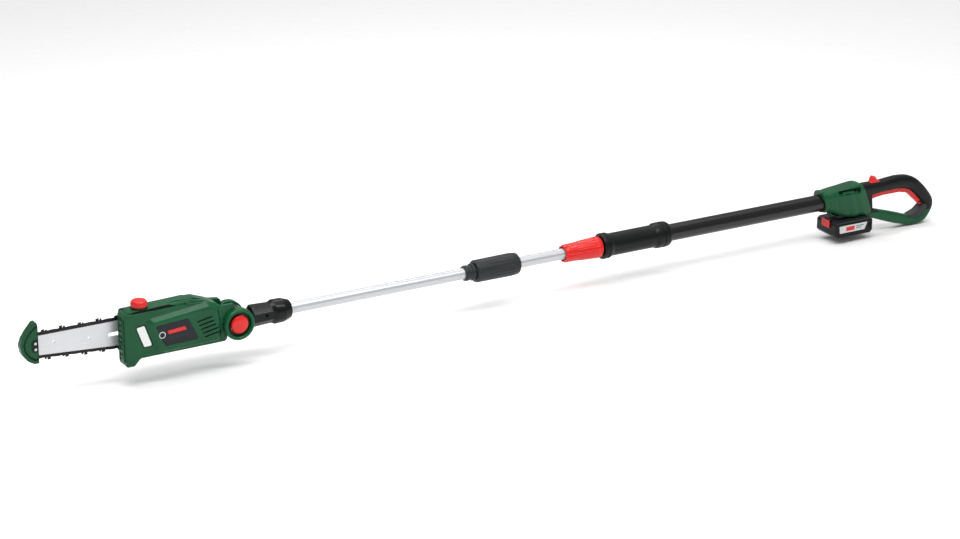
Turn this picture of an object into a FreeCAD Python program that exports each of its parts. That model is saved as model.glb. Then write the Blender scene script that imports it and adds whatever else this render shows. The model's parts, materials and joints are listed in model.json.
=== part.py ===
import FreeCAD, Part
import math
import os
import re
import Sketcher

# Telescoping cordless pole saw. Lengths in mm. X runs along the pole from the nose guard (-X) to the
# D handle (+X), Z is up and the saw bar lies on the +Y side of the head. Heights in outlines are
# measured from the pole axis, which stands axis_z above the floor.
os.makedirs("parts", exist_ok=True)
V = FreeCAD.Vector
doc = FreeCAD.newDocument("PoleSaw")

# ---------------------------------------------------------------- driving sizes
SIZES = {
    "axis_z": 95,           # pole axis above the floor
    "guard_lead": 16,       # nose guard ahead of the bar tip
    "bar_reach": 195,       # bar tip to head front, an 8 inch bar
    "head_len": 236,        # head front to tilt pivot
    "socket_len": 134,      # tilt pivot to the end of the pole socket
    "upper_len": 396,       # upper tube in view
    "collar_len": 25.5,      # grey collar of the coupling
    "sleeve_len": 106.5,     # fluted sleeve of the coupling
    "inner_show": 112,      # sliding tube in view
    "lock_len": 92,         # twist lock collar
    "grip_len": 176,        # front grip
    "outer_show": 395,      # outer tube in view
    "handle_len": 336,      # rear housing with the D grip
    "inner_len": 790,       # sliding tube, whole
    "extend": 380,          # telescopic travel outwards
    "retract": 80,          # telescopic travel inwards
    "slim_r": 12,           # upper and sliding tube radius
    "slim_wall": 1.5,
    "outer_r": 18.75,       # outer tube radius
    "outer_wall": 1.6,
    "run": 0.06,            # radial clearance of a running fit
    "free": 0.5,            # clearance between pieces that only pass
    "body_y": 24,           # head and handle flank from the middle
    "split_y": -4,          # parting plane of the head
    "pad_y": 8,             # far wall of the head, bar side
    "bar_y": 13.5,          # near face of the bar
    "bar_thick": 3.5,
    "ear_y": 34,            # outer face of the tilt ears
    "knuckle_y": 17.7,      # half width of the knuckle
    "knuckle_r": 31,
    "ear_r": 33,
    "bolt_r": 6,
    "wall": 3,              # moulded wall thickness
    "nose_r": 20,           # bar nose radius
    "root_r": 12,           # rounding of the bar root
    "rim_r": 14.3,          # sprocket rim that carries the chain
    "sprocket_back": 81.5,  # sprocket behind the head front
    "sprocket_h": 10.7,
    "module": 1,            # gear module
    "pinion_teeth": 14,
    "gear_teeth": 41,
    "gear_face": 5,
    "motor_r": 25,
    "link_pairs": 34,       # drive links in the chain loop
    "batt_len": 103,
    "batt_y": 37.5,
    "batt_drop": 80,        # battery bottom below the pole axis
    "cell_r": 9.1,
    "cell_len": 65,
    "core_y": 13,           # half width of the D loop core
    "skin": 2.6,            # soft grip skin over the core
    "trigger_y": 5.5,       # half width of the trigger
    "switch_y": 9.5,        # half width of the switch
    "stud_r": 4,
    "bar_h": 13,            # bar stud above the pole axis
    "cap_h": 68.5,          # underside of the oil cap
    "cap_y": -4,
}
# ---------------------------------------------------------------- derived stations
STATIONS = {
    "total": "guard_lead + bar_reach + head_len + socket_len + upper_len + collar_len + sleeve_len"
             " + inner_show + lock_len + grip_len + outer_show + handle_len",
    "tip_x": "-total / 2",
    "bar_x": "tip_x + guard_lead",
    "head_x": "bar_x + bar_reach",
    "pivot_x": "head_x + head_len",
    "socket_x": "pivot_x + 39",
    "socket_end": "pivot_x + socket_len",
    "collar_x": "socket_end + upper_len",
    "sleeve_x": "collar_x + collar_len",
    "sleeve_end": "sleeve_x + sleeve_len",
    "lock_x": "sleeve_end + inner_show",
    "lock_end": "lock_x + lock_len",
    "grip_end": "lock_end + grip_len",
    "handle_x": "grip_end + outer_show",
    "handle_end": "handle_x + handle_len",
    "d_x": "handle_x + 150",
    "d_scale": "(handle_len - 150) / 186",
    "nose_x": "bar_x + nose_r",
    "nose_h": "20",
    "cap_x": "head_x + 34",
    "sprocket_x": "head_x + sprocket_back",
    "motor_x": "sprocket_x + module * (pinion_teeth + gear_teeth) / 2",
    "motor_h": "sprocket_h",
    "root_x": "head_x + 35",
    "stud_x": "head_x + 22",
    "tube_in_x": "socket_x + 20",
    "inner_x": "sleeve_x + 52",
    "inner_end": "inner_x + inner_len",
    "outer_x": "lock_x + 55",
    "outer_end": "handle_x + 30",
    "outer_bore": "outer_r - outer_wall",
    "collet_r": "outer_r + 1.65",
    "grip_r": "outer_r + 6.25",
    "flange_r": "outer_r + 9.75",
    "batt_x": "handle_x + 35",
    "batt_end": "batt_x + batt_len",
    "bar_mid_y": "bar_y + bar_thick / 2",
    "bar_far_y": "bar_y + bar_thick",
}


def fill_sheet(name, table, formula):
    sheet = doc.addObject("Spreadsheet::Sheet", name)
    for row, (alias, value) in enumerate(table.items(), start=1):
        sheet.set(f"A{row}", alias)
        sheet.set(f"B{row}", "=" + bind(value) if formula else str(value))
        sheet.setAlias(f"B{row}", alias)
    doc.recompute()
    return sheet


def bind(text):
    """Point every known name in an expression at its cell."""
    def cell(found):
        word = found.group(0)
        if word in SIZES:
            return "Dim." + word
        return "At." + word if word in STATIONS else word
    return re.sub(r"[A-Za-z_][A-Za-z_0-9]*", cell, str(text))


dim = fill_sheet("Dim", SIZES, False)
at = fill_sheet("At", STATIONS, True)


def size(text):
    """Present value of an expression of named sizes."""
    return float(dim.evalExpression(bind(text)))


def drive(owner, prop, text):
    owner.setExpression(prop, bind(text))


# ---------------------------------------------------------------- PartDesign helpers
PLANES = {"XZ": ("XZ_Plane", -1), "YZ": ("YZ_Plane", 1), "XY": ("XY_Plane", 1)}


def settle(body, feature):
    """Recompute a new feature and make it the body's tip."""
    doc.recompute([feature])
    if "Invalid" in feature.State:
        raise RuntimeError(f"{feature.Label} did not build")
    body.Tip = feature
    return feature


def new_body(label):
    body = doc.addObject("PartDesign::Body", label)
    body.Label = label
    return body


def new_sketch(body, plane, across="0", up="axis_z", along="0"):
    """Sketch on one of the body's own planes, its origin moved to (across, up, along)."""
    sketch = body.newObject("Sketcher::SketchObject", body.Label + "_outline")
    role, sign = PLANES[plane]
    support = [f for f in body.Origin.OriginFeatures if f.Role == role][0]
    sketch.AttachmentSupport = [(support, "")]
    sketch.MapMode = "FlatFace"
    drive(sketch, "AttachmentOffset.Base.x", across)
    drive(sketch, "AttachmentOffset.Base.y", up)
    drive(sketch, "AttachmentOffset.Base.z", f"{sign} * ({along})")
    return sketch


def pin_point(sketch, curve, end, x, y):
    """Hold one curve end at an expression driven place."""
    for kind, text in (("DistanceX", x), ("DistanceY", y)):
        number = sketch.addConstraint(Sketcher.Constraint(kind, -1, 1, curve, end, size(text)))
        name = f"p{number}"
        sketch.renameConstraint(number, name)
        drive(sketch, f"Constraints.{name}", text)


def draw_loop(sketch, points):
    """Closed outline through expression pairs."""
    first = sketch.GeometryCount
    ends = [V(size(x), size(y), 0) for x, y in points]
    count = len(points)
    for i in range(count):
        sketch.addGeometry(Part.LineSegment(ends[i], ends[(i + 1) % count]), False)
    for i in range(count):
        after = first + (i + 1) % count
        sketch.addConstraint(Sketcher.Constraint("Coincident", first + i, 2, after, 1))
    for i, (x, y) in enumerate(points):
        pin_point(sketch, first + i, 1, x, y)


def draw_circle(sketch, x, y, radius):
    curve = sketch.addGeometry(Part.Circle(V(size(x), size(y), 0), V(0, 0, 1), size(radius)), False)
    pin_point(sketch, curve, 3, x, y)
    number = sketch.addConstraint(Sketcher.Constraint("Radius", curve, size(radius)))
    sketch.renameConstraint(number, f"r{number}")
    drive(sketch, f"Constraints.r{number}", radius)


def extrude(body, kind, plane, shapes, start, end, across="0", rise="axis_z"):
    """Pad or pocket between two stations along the plane's normal axis.

    A shape is a list of points, or a circle as ("circle", x, y, radius).
    """
    base = end if PLANES[plane][1] < 0 else start
    sketch = new_sketch(body, plane, across, "0" if plane == "XY" else rise, base)
    for shape in shapes:
        if shape[0] == "circle":
            draw_circle(sketch, *shape[1:])
        else:
            draw_loop(sketch, shape)
    feature = body.newObject("PartDesign::" + kind, body.Label + "_" + kind)
    feature.Profile = sketch
    drive(feature, "Length", f"({end}) - ({start})")
    feature.Reversed = kind == "Pocket"
    return settle(body, feature)


AXES = {"X": ("XZ", "H_Axis"), "Y": ("YZ", "H_Axis"), "Z": ("XZ", "V_Axis")}


def turn(body, kind, axis, profile, x="0", h="0", y="0"):
    """Revolution or groove about a line along an axis; profile holds (station, radius) pairs."""
    plane, line = AXES[axis]
    if axis == "X":
        sketch = new_sketch(body, plane, up=f"axis_z + ({h})", along=y)
        points = profile
    elif axis == "Y":
        sketch = new_sketch(body, plane, up=f"axis_z + ({h})", along=x)
        points = profile
    else:
        sketch = new_sketch(body, plane, across=x, up=f"axis_z + ({h})", along=y)
        points = [(radius, station) for station, radius in profile]
    draw_loop(sketch, points)
    feature = body.newObject("PartDesign::" + kind, body.Label + "_" + kind)
    feature.Profile = sketch
    feature.ReferenceAxis = (sketch, [line])
    feature.Angle = 360
    return settle(body, feature)


def edges_where(feature, test):
    names = []
    for number, edge in enumerate(feature.Shape.Edges, start=1):
        if test(edge):
            names.append(f"Edge{number}")
    return names


def dress(body, kind, test, amount):
    """Fillet or chamfer every edge of the body's tip that passes the test."""
    base = body.Tip
    names = edges_where(base, test)
    feature = body.newObject("PartDesign::" + kind, body.Label + "_" + kind)
    feature.Base = (base, names)
    drive(feature, "Size" if kind == "Chamfer" else "Radius", amount)
    return settle(body, feature)


def in_plane(axis, place):
    """Test for edges that lie wholly at one coordinate."""
    where = size(place)
    low, high = {"X": ("XMin", "XMax"), "Y": ("YMin", "YMax"), "Z": ("ZMin", "ZMax")}[axis]

    def test(edge):
        box = edge.BoundBox
        return abs(getattr(box, low) - where) < 1e-3 and abs(getattr(box, high) - where) < 1e-3
    return test


def corner_at(x, h, reach=0.5):
    """Test for straight edges along Y that stand at one outline corner."""
    px = size(x)
    pz = size(f"axis_z + ({h})")

    def test(edge):
        box = edge.BoundBox
        flat = box.XLength < 1e-3 and box.ZLength < 1e-3
        return flat and abs(box.XMin - px) < reach and abs(box.ZMin - pz) < reach
    return test


def round_corners(body, corners, radius):
    """Round outline corners given as (x, height) pairs."""
    tests = [corner_at(x, h) for x, h in corners]
    return dress(body, "Fillet", lambda edge: any(test(edge) for test in tests), radius)


def ring(body, count, feature, axis="H_Axis"):
    """Repeat a pocket or pad about the axis of its sketch."""
    pattern = body.newObject("PartDesign::PolarPattern", body.Label + "_ring")
    pattern.Originals = [feature]
    pattern.Axis = (feature.Profile[0], [axis])
    pattern.Angle = 360
    pattern.Occurrences = count
    body.Tip = pattern
    return settle(body, pattern)


# ---------------------------------------------------------------- Part helpers
TURN_TO = {"X": V(0, 1, 0), "Y": V(-1, 0, 0), "Z": V(0, 0, 1)}


def place(item, x, y, h, axis="Z"):
    drive(item, "Placement.Base.x", x)
    drive(item, "Placement.Base.y", y)
    drive(item, "Placement.Base.z", f"axis_z + ({h})")
    if axis != "Z":
        item.Placement.Rotation = FreeCAD.Rotation(TURN_TO[axis], 90)


def rod(label, axis, x, y, h, radius, length):
    item = doc.addObject("Part::Cylinder", label)
    item.Label = label
    drive(item, "Radius", radius)
    drive(item, "Height", length)
    place(item, x, y, h, axis)
    return item


def block(label, x, y, h, along, across, up):
    item = doc.addObject("Part::Box", label)
    item.Label = label
    drive(item, "Length", along)
    drive(item, "Width", across)
    drive(item, "Height", up)
    place(item, x, y, h)
    return item


def fuse(label, items):
    item = doc.addObject("Part::MultiFuse", label)
    item.Label = label
    item.Shapes = items
    return item


def group(label, items):
    item = doc.addObject("Part::Compound", label)
    item.Label = label
    item.Links = items
    return item


def keep_shape(label, shape):
    item = doc.addObject("Part::Feature", label)
    item.Label = label
    item.Shape = shape
    return item


def screws(label, spots, head, shank):
    """Pan head screws along +Y, one solid each; spots hold (x, y of the head top, h)."""
    head_r, head_len = head
    shank_r, shank_len = shank
    done = []
    for number, (x, y, h) in enumerate(spots):
        name = f"{label}_{number}"
        top = rod(name + "_head", "Y", x, y, h, head_r, head_len)
        stem = rod(name + "_stem", "Y", x, f"{y} + {head_len}", h, shank_r, shank_len)
        done.append(fuse(name, [top, stem]))
    return group(label, done)


def bore_spots(body, spots, radius, start, end):
    """Round holes along Y through a body at (x, h) spots."""
    return extrude(body, "Pocket", "XZ", [("circle", x, h, radius) for x, h in spots], start, end)


# ---------------------------------------------------------------- saw head
def head_side(x):
    """Head outline seen from the side, from the front foot round to the tilt ears."""
    return [
        ("head_x - 5", "-48"), ("head_x + 12", "-48"), ("head_x + 24", "-34"),
        (f"{x} - 21", "-33"), (f"{x} - 21", "0"), (f"{x} + 1", "20"), (f"{x} - 6", "45"),
        (f"{x} - 37", "45"), (f"{x} - 44", "52"), (f"{x} - 67", "63"), (f"{x} - 96", "70"),
        (f"{x} - 126", "70"), ("head_x + 9", "67"), ("head_x", "61"),
    ]


HUMP = [
    ("head_x + 39", "47"), ("pivot_x - 52", "57"), ("pivot_x - 36", "42"), ("pivot_x - 36", "-30"),
    ("head_x + 68", "-31"), ("head_x + 60", "-24"),
]
CAVITY = [
    ("head_x + 4", "-29"), ("pivot_x - 44", "-29"), ("pivot_x - 44", "42"),
    ("pivot_x - 72", "58"), ("head_x + 6", "58"),
]
WINDOW = [
    ("head_x + 17", "32"), ("head_x + 36", "34"), ("head_x + 51", "-11"), ("head_x + 32", "-11"),
]
BADGE = [
    ("head_x + 55", "37"), ("head_x + 126", "34"), ("head_x + 146", "-12"), ("head_x + 72", "-9"),
]
HEAD_SCREWS = [
    ("head_x + 8", "-39"), ("pivot_x - 40", "-24"), ("pivot_x - 40", "36"), ("pivot_x - 108", "63"),
]


def knuckle_slot(body, start, end):
    """Room for the knuckle and for the socket as it swings."""
    extrude(body, "Pocket", "XZ", [("circle", "pivot_x", "0", "knuckle_r + 3")], start, end)
    sweep = [
        ("pivot_x + 2", "-60"), ("pivot_x + 60", "-60"), ("pivot_x + 60", "60"), ("pivot_x + 2", "60"),
    ]
    extrude(body, "Pocket", "XZ", [sweep], start, end)


def filler_seat(body):
    """Flat seat and bore for the oil filler in the deck."""
    seat = [("cap_h - 0.5", "0"), ("cap_h - 0.5", "17"), ("cap_h + 20", "17"), ("cap_h + 20", "0")]
    turn(body, "Groove", "Z", seat, x="cap_x", y="cap_y")
    neck = [("50", "0"), ("50", "10"), ("cap_h", "10"), ("cap_h", "0")]
    turn(body, "Groove", "Z", neck, x="cap_x", y="cap_y")


def make_housing_left():
    body = new_body("head_housing_left")
    extrude(body, "Pad", "XZ", [head_side("pivot_x")], "-body_y", "split_y")
    dress(body, "Chamfer", in_plane("Y", "-body_y"), "2")
    extrude(body, "Pad", "XZ", [("circle", "pivot_x", "0", "ear_r")], "-ear_y", "-knuckle_y - 0.3")
    dress(body, "Chamfer", in_plane("Y", "-ear_y"), "2")
    extrude(body, "Pad", "XZ", [HUMP], "-ear_y + 1", "-body_y + 2.5")
    dress(body, "Chamfer", in_plane("Y", "-ear_y + 1"), "4")
    knuckle_slot(body, "-knuckle_y - 0.3", "split_y")
    extrude(body, "Pocket", "XZ", [CAVITY], "-body_y + wall", "split_y")
    motor_bay = [("circle", "motor_x", "motor_h", "motor_r + 1")]
    extrude(body, "Pocket", "XZ", motor_bay, "-ear_y + 1 + wall", "split_y")
    extrude(body, "Pocket", "XZ", [WINDOW], "-body_y - 1", "-body_y + wall + 1")
    extrude(body, "Pocket", "XZ", [BADGE], "-ear_y", "-ear_y + 2")
    button_bore = [("circle", "pivot_x", "0", "21 + free")]
    extrude(body, "Pocket", "XZ", button_bore, "-ear_y - 1", "-body_y")
    extrude(body, "Pocket", "XZ", [("circle", "pivot_x", "0", "27")], "-body_y", "-knuckle_y")
    filler_seat(body)
    extrude(body, "Pocket", "XZ", [("circle", x, h, "3.2") for x, h in HEAD_SCREWS], "-ear_y", "-21.5")
    bore_spots(body, HEAD_SCREWS, "1.5", "-body_y", "split_y")
    vents = []
    for slot in range(5):
        top = 26 - 8 * slot
        left = f"pivot_x - 92 + {3.6 * slot:.1f}"
        vents.append([
            (left, f"{top}"), (f"{left} + 33", f"{top + 6}"),
            (f"{left} + 33.6", f"{top + 4}"), (f"{left} + 0.6", f"{top - 2}"),
        ])
    extrude(body, "Pocket", "XZ", vents, "-ear_y", "-body_y + wall")
    return body


def make_housing_right():
    body = new_body("head_housing_right")
    rear = [
        ("pivot_x - 62", "-32"), ("pivot_x - 20", "-33"), ("pivot_x - 20", "43"), ("pivot_x - 37", "45"),
        ("pivot_x - 62", "52"),
    ]
    extrude(body, "Pad", "XZ", [rear], "pad_y - 1", "ear_y - 1")
    dress(body, "Chamfer", in_plane("Y", "ear_y - 1"), "4")
    extrude(body, "Pad", "XZ", [("circle", "pivot_x", "0", "ear_r")], "knuckle_y + 0.3", "ear_y")
    extrude(body, "Pad", "XZ", [head_side("pivot_x")], "split_y", "pad_y")
    knuckle_slot(body, "split_y", "knuckle_y + 0.3")
    extrude(body, "Pocket", "XZ", [CAVITY], "split_y", "pad_y - wall")
    bore_spots(body, [("sprocket_x", "sprocket_h")], "9", "split_y", "pad_y")
    bore_spots(body, [("pivot_x", "0")], "bolt_r", "knuckle_y", "ear_y")
    bar_pad = [
        ("head_x + 8", "bar_h - 9"), ("root_x - 1", "bar_h - 9"), ("root_x - 1", "bar_h + 9"),
        ("head_x + 8", "bar_h + 9"),
    ]
    extrude(body, "Pad", "XZ", [bar_pad], "pad_y - 1", "bar_y")
    bore_spots(body, [("stud_x", "bar_h")], "stud_r", "split_y", "bar_y")
    bore_spots(body, HEAD_SCREWS, "1.5", "split_y", "pad_y - 1")
    filler_seat(body)
    return body


def make_cover():
    body = new_body("sprocket_cover")
    side = [
        ("head_x + 2", "-40"), ("pivot_x - 63", "-30"), ("pivot_x - 63", "48"), ("pivot_x - 96", "66"),
        ("head_x + 2", "62"),
    ]
    extrude(body, "Pad", "XZ", [side], "pad_y", "ear_y - 1")
    dress(body, "Chamfer", in_plane("Y", "ear_y - 1"), "5")
    chain_room = [
        ("head_x - 1", "-30"), ("sprocket_x + 30", "-24"), ("sprocket_x + 34", "40"),
        ("head_x + 60", "56"), ("head_x - 1", "56"),
    ]
    extrude(body, "Pocket", "XZ", [chain_room], "pad_y - 1", "ear_y - 11")
    extrude(body, "Pad", "XZ", [("circle", "stud_x", "bar_h", "11")], "bar_far_y", "ear_y - 10")
    bore_spots(body, [("stud_x", "bar_h")], "7", "bar_y", "ear_y")
    extrude(body, "Pocket", "XZ", [("circle", "stud_x", "bar_h", "17.5")], "ear_y - 8", "ear_y")
    return body


def make_pivot():
    bolt = new_body("pivot_bolt")
    profile = [
        ("-knuckle_y + 0.4", "0"), ("-knuckle_y + 0.4", "bolt_r - run"), ("knuckle_y + 0.3", "bolt_r - run"),
        ("knuckle_y + 0.3", "bolt_r"), ("ear_y", "bolt_r"), ("ear_y", "11"), ("ear_y + 3", "10"),
        ("ear_y + 3", "0"),
    ]
    turn(bolt, "Revolution", "Y", profile, x="pivot_x")
    button = new_body("tilt_button")
    profile = [
        ("-batt_y + 0.1", "0"), ("-batt_y + 0.1", "19"), ("-batt_y + 2", "21"), ("-25", "21"),
        ("-25", "9"), ("-28", "9"), ("-28", "0"),
    ]
    turn(button, "Revolution", "Y", profile, x="pivot_x")
    spring = make_spring("tilt_spring", 7.5, 1, 3, ("pivot_x", "0"), ("-28", "-knuckle_y"))
    tooth_ring = new_body("tilt_tooth_ring")
    profile = [("-knuckle_y - 3", "13"), ("-knuckle_y - 3", "26"), ("-knuckle_y", "26"), ("-knuckle_y", "13")]
    turn(tooth_ring, "Revolution", "Y", profile, x="pivot_x")
    notch = [("23.5", "-1.5"), ("27", "-2"), ("27", "2"), ("23.5", "1.5")]
    first = extrude(tooth_ring, "Pocket", "XZ", [notch], "-knuckle_y - 4", "-knuckle_y + 1", "pivot_x")
    ring(tooth_ring, 24, first, "N_Axis")
    return [bolt, button, spring, tooth_ring]


def make_spring(label, radius, wire, turns, centre, span, axis="Y"):
    """Open coil spring of square wire between two stations, the wire inside the span."""
    low = size(span[0]) + wire
    high = size(span[1]) - wire
    lead = (high - low) / turns
    coil = Part.makeHelix(lead, high - low, radius)
    half = wire * 0.8
    corners = [V(radius + a * half, 0, b * half) for a, b in ((-1, -1), (1, -1), (1, 1), (-1, 1), (-1, -1))]
    section = Part.Wire(Part.makePolygon(corners).Edges)
    sweep = Part.Wire(coil.Edges).makePipeShell([section], True, True)
    item = keep_shape(label, sweep)
    if axis == "Y":
        turn_by = FreeCAD.Rotation(V(1, 0, 0), -90)
        base = V(size(centre[0]), low, size("axis_z") + size(centre[1]))
    elif axis == "X":
        turn_by = FreeCAD.Rotation(V(0, 1, 0), 90)
        base = V(low, size(centre[0]), size("axis_z") + size(centre[1]))
    else:
        turn_by = FreeCAD.Rotation()
        base = V(size(centre[0]), size(centre[1]), size("axis_z") + low)
    item.Placement = FreeCAD.Placement(base, turn_by)
    return item


# ---------------------------------------------------------------- bar, chain and drive
def make_bar():
    """Laminated bar: two rails either side of a core that leaves the chain groove."""
    body = new_body("guide_bar")
    rail = [("bar_x", "1.4"), ("root_x", "-14.9"), ("root_x", "40"), ("bar_x", "40")]
    core = [("bar_x + 6", "7"), ("root_x - 6", "-8.5"), ("root_x - 6", "34"), ("bar_x + 6", "34")]
    extrude(body, "Pad", "XZ", [core], "bar_y + 0.5", "bar_far_y - 0.5")
    extrude(body, "Pad", "XZ", [rail], "bar_y", "bar_y + 1.05")
    extrude(body, "Pad", "XZ", [rail], "bar_far_y - 1.05", "bar_far_y")
    round_corners(body, [rail[0], rail[3]], "nose_r - 0.2")
    round_corners(body, [core[0], core[3]], "nose_r - 8")
    round_corners(body, [rail[1], rail[2]], "root_r")
    round_corners(body, [core[1], core[2]], "root_r - 6")
    slot = [
        ("stud_x - 48", "bar_h - stud_r - 0.2"), ("root_x - 9", "bar_h - stud_r - 0.2"),
        ("root_x - 9", "bar_h + stud_r + 0.2"), ("stud_x - 48", "bar_h + stud_r + 0.2"),
    ]
    extrude(body, "Pocket", "XZ", [slot], "bar_y - 1", "bar_far_y + 1")
    round_corners(body, slot, "stud_r")
    bore_spots(body, GUARD_SCREWS, "1.6", "bar_y - 1", "bar_far_y + 1")
    bore_spots(body, [("bar_x + 56", "22"), ("head_x - 66", "15")], "2.5", "bar_y - 1", "bar_far_y + 1")
    return body


GUARD_SCREWS = [("tip_x + 32", "27"), ("tip_x + 32", "15")]


def make_guard():
    body = new_body("nose_guard")
    side = [
        ("tip_x", "25"), ("tip_x + 4", "9"), ("tip_x + 14", "-6"), ("tip_x + 27", "-15"),
        ("tip_x + 38", "-15"), ("tip_x + 38", "66"), ("tip_x + 34", "71"), ("tip_x + 27", "71"),
        ("tip_x + 12", "55"), ("tip_x + 3", "40"),
    ]
    extrude(body, "Pad", "XZ", [side], "bar_mid_y - 7.5", "bar_mid_y + 7.5")
    round_corners(body, [side[0], side[1], side[2], side[8], side[9]], "12")
    dress(body, "Fillet", in_plane("Y", "bar_mid_y - 7.5"), "1.5")
    extrude(body, "Pocket", "XZ", [chain_room_at_nose()], "bar_mid_y - 4.6", "bar_mid_y + 4.6")
    extrude(body, "Pocket", "XZ", [("circle", "nose_x", "nose_h", "nose_r + 12")],
            "bar_mid_y - 4.6", "bar_mid_y + 4.6")
    for start, end in (("bar_mid_y - 6", "bar_y"), ("bar_far_y", "bar_mid_y + 6")):
        extrude(body, "Pad", "XZ", [("circle", x, h, "4.5") for x, h in GUARD_SCREWS], start, end)
    bore_spots(body, GUARD_SCREWS, "1.6", "bar_mid_y - 9", "bar_mid_y + 6")
    return body


def chain_room_at_nose():
    return [
        ("nose_x", "nose_h - nose_r - 12"), ("tip_x + 60", "nose_h - nose_r - 12"),
        ("tip_x + 60", "nose_h + nose_r + 12"), ("nose_x", "nose_h + nose_r + 12"),
    ]


RIVET_OUT = 3.9
RIVET_R = 1.44
LINK_HALF = 0.6
STRAP_THICK = 1.2


def belt(wheels):
    """Closed clockwise belt round wheels (x, z, r): straight runs and arcs with their lengths."""
    runs = []
    count = len(wheels)
    normals = []
    for i in range(count):
        x1, z1, r1 = wheels[i]
        x2, z2, r2 = wheels[(i + 1) % count]
        reach = math.hypot(x2 - x1, z2 - z1)
        normals.append(math.atan2(z2 - z1, x2 - x1) + math.acos((r1 - r2) / reach))
    for i in range(count):
        x1, z1, r1 = wheels[i]
        before = normals[i - 1]
        after = normals[i]
        sweep = (before - after) % (2 * math.pi)
        runs.append(("arc", x1, z1, r1, before, sweep, r1 * sweep))
        x2, z2, r2 = wheels[(i + 1) % count]
        start = (x1 + r1 * math.cos(after), z1 + r1 * math.sin(after))
        end = (x2 + r2 * math.cos(after), z2 + r2 * math.sin(after))
        runs.append(("run", start, end, math.hypot(end[0] - start[0], end[1] - start[1])))
    return runs


def on_belt(runs, distance):
    for run in runs:
        if distance <= run[-1]:
            break
        distance -= run[-1]
    if run[0] == "run":
        part = distance / run[3]
        return [a + (b - a) * part for a, b in zip(run[1], run[2])]
    angle = run[4] - distance / run[3]
    return [run[1] + run[3] * math.cos(angle), run[2] + run[3] * math.sin(angle)]


def chain_rivet_points():
    """Rivet centres round the nose, the bar root and the sprocket, evenly spaced."""
    out = RIVET_OUT
    root = size("root_r")
    back = size("root_x") - root
    axis = size("axis_z")
    wheels = [
        (size("nose_x"), axis + size("nose_h"), size("nose_r") + out),
        (back, axis + 40 - root, root + out),
        (size("sprocket_x"), axis + size("sprocket_h"), size("rim_r") + out),
        (back, axis - 14 + root, root + out),
    ]
    runs = belt(wheels)
    length = sum(run[-1] for run in runs)
    count = int(2 * size("link_pairs"))
    pitch = length / count
    return [on_belt(runs, pitch * i) for i in range(count)]


def plate(points, low, high):
    """Flat plate in the XZ plane between two Y stations."""
    corners = [V(x, low, z) for x, z in points]
    face = Part.Face(Part.makePolygon(corners + corners[:1]))
    return face.extrude(V(0, high - low, 0))


def pin(x, z, radius, low, high):
    return Part.makeCylinder(radius, high - low, V(x, low, z), V(0, 1, 0))


def strap_blank(pitch, low, high, top=None):
    half = pitch / 2
    outline = [
        (-half - 2.4, -1.2), (-half - 1.2, -2.9), (half + 1.2, -2.9), (half + 2.4, -1.2),
        (half + 2.4, 1.2), (half + 1.2, 2.8),
    ] + (top or []) + [(-half - 1.2, 2.8), (-half - 2.4, 1.2)]
    return plate(outline, low, high)


def make_chain():
    """Drive links in the groove, straps and cutters outside, rivets through both."""
    points = chain_rivet_points()
    middle = size("bar_mid_y")
    count = len(points)
    pitch = math.dist(points[0], points[1])
    half = pitch / 2
    bore = RIVET_R + size("run")
    holes = [pin(side * half, 0, bore, middle - 9, middle + 9) for side in (-1, 1)]
    tang = plate([
        (-half - 2.4, -1.2), (-2.6, -3.1), (-1.8, -7.4), (2.2, -7.4), (2.6, -3.1), (half + 2.4, -1.2),
        (half + 2.4, 1.4), (half + 1, 2.8), (-half - 1, 2.8), (-half - 2.4, 1.4),
    ], middle - LINK_HALF, middle + LINK_HALF).cut(holes)
    inner = LINK_HALF + 0.1
    outer = inner + STRAP_THICK
    near = strap_blank(pitch, middle - outer, middle - inner).cut(holes)
    far = strap_blank(pitch, middle + inner, middle + outer).cut(holes)
    tooth = [(half + 1.2, 5.4), (half - 1.2, 6), (1.6, 2.8), (-0.4, 2.8), (0.6, 6.9), (-half - 1.6, 6.2)]
    masters = {"near": near, "far": far, "link": tang}
    for side, low, high in (("left", -outer, -inner), ("right", inner, outer)):
        wall = strap_blank(pitch, middle + low, middle + high, tooth).cut(holes)
        edge = [(-half - 1.5, 5.1), (0.4, 5.9), (0.6, 6.9), (-half - 1.6, 6.2)]
        span = (low - 1, 0.4) if low < 0 else (-0.4, high + 1)
        masters[side] = wall.fuse(plate(edge, middle + span[0], middle + span[1])).removeSplitter()
    sets = {"chain_drive_links": [], "chain_tie_straps": [], "chain_cutters": [], "chain_rivets": []}
    for i, point in enumerate(points):
        after = points[(i + 1) % count]
        angle = math.atan2(after[1] - point[1], after[0] - point[0])
        mid = V((point[0] + after[0]) / 2, 0, (point[1] + after[1]) / 2)
        move = FreeCAD.Placement(mid, FreeCAD.Rotation(V(0, 1, 0), -math.degrees(angle)))
        rivet = pin(point[0], point[1], RIVET_R, middle - outer - 0.3, middle + outer + 0.3)
        sets["chain_rivets"].append(rivet)
        for name, key in link_parts(i):
            copy = masters[key].copy()
            copy.Placement = move.multiply(copy.Placement)
            sets[name].append(copy)
    return [keep_shape(name, Part.makeCompound(found)) for name, found in sets.items()]


def link_parts(i):
    """Node and master shape of each piece between rivet i and the next."""
    if i % 2 == 0:
        return [("chain_drive_links", "link")]
    if i % 4 == 1:
        cutter, strap = ("left", "far") if i % 8 == 1 else ("right", "near")
        return [("chain_cutters", cutter), ("chain_tie_straps", strap)]
    return [("chain_tie_straps", "near"), ("chain_tie_straps", "far")]


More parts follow.
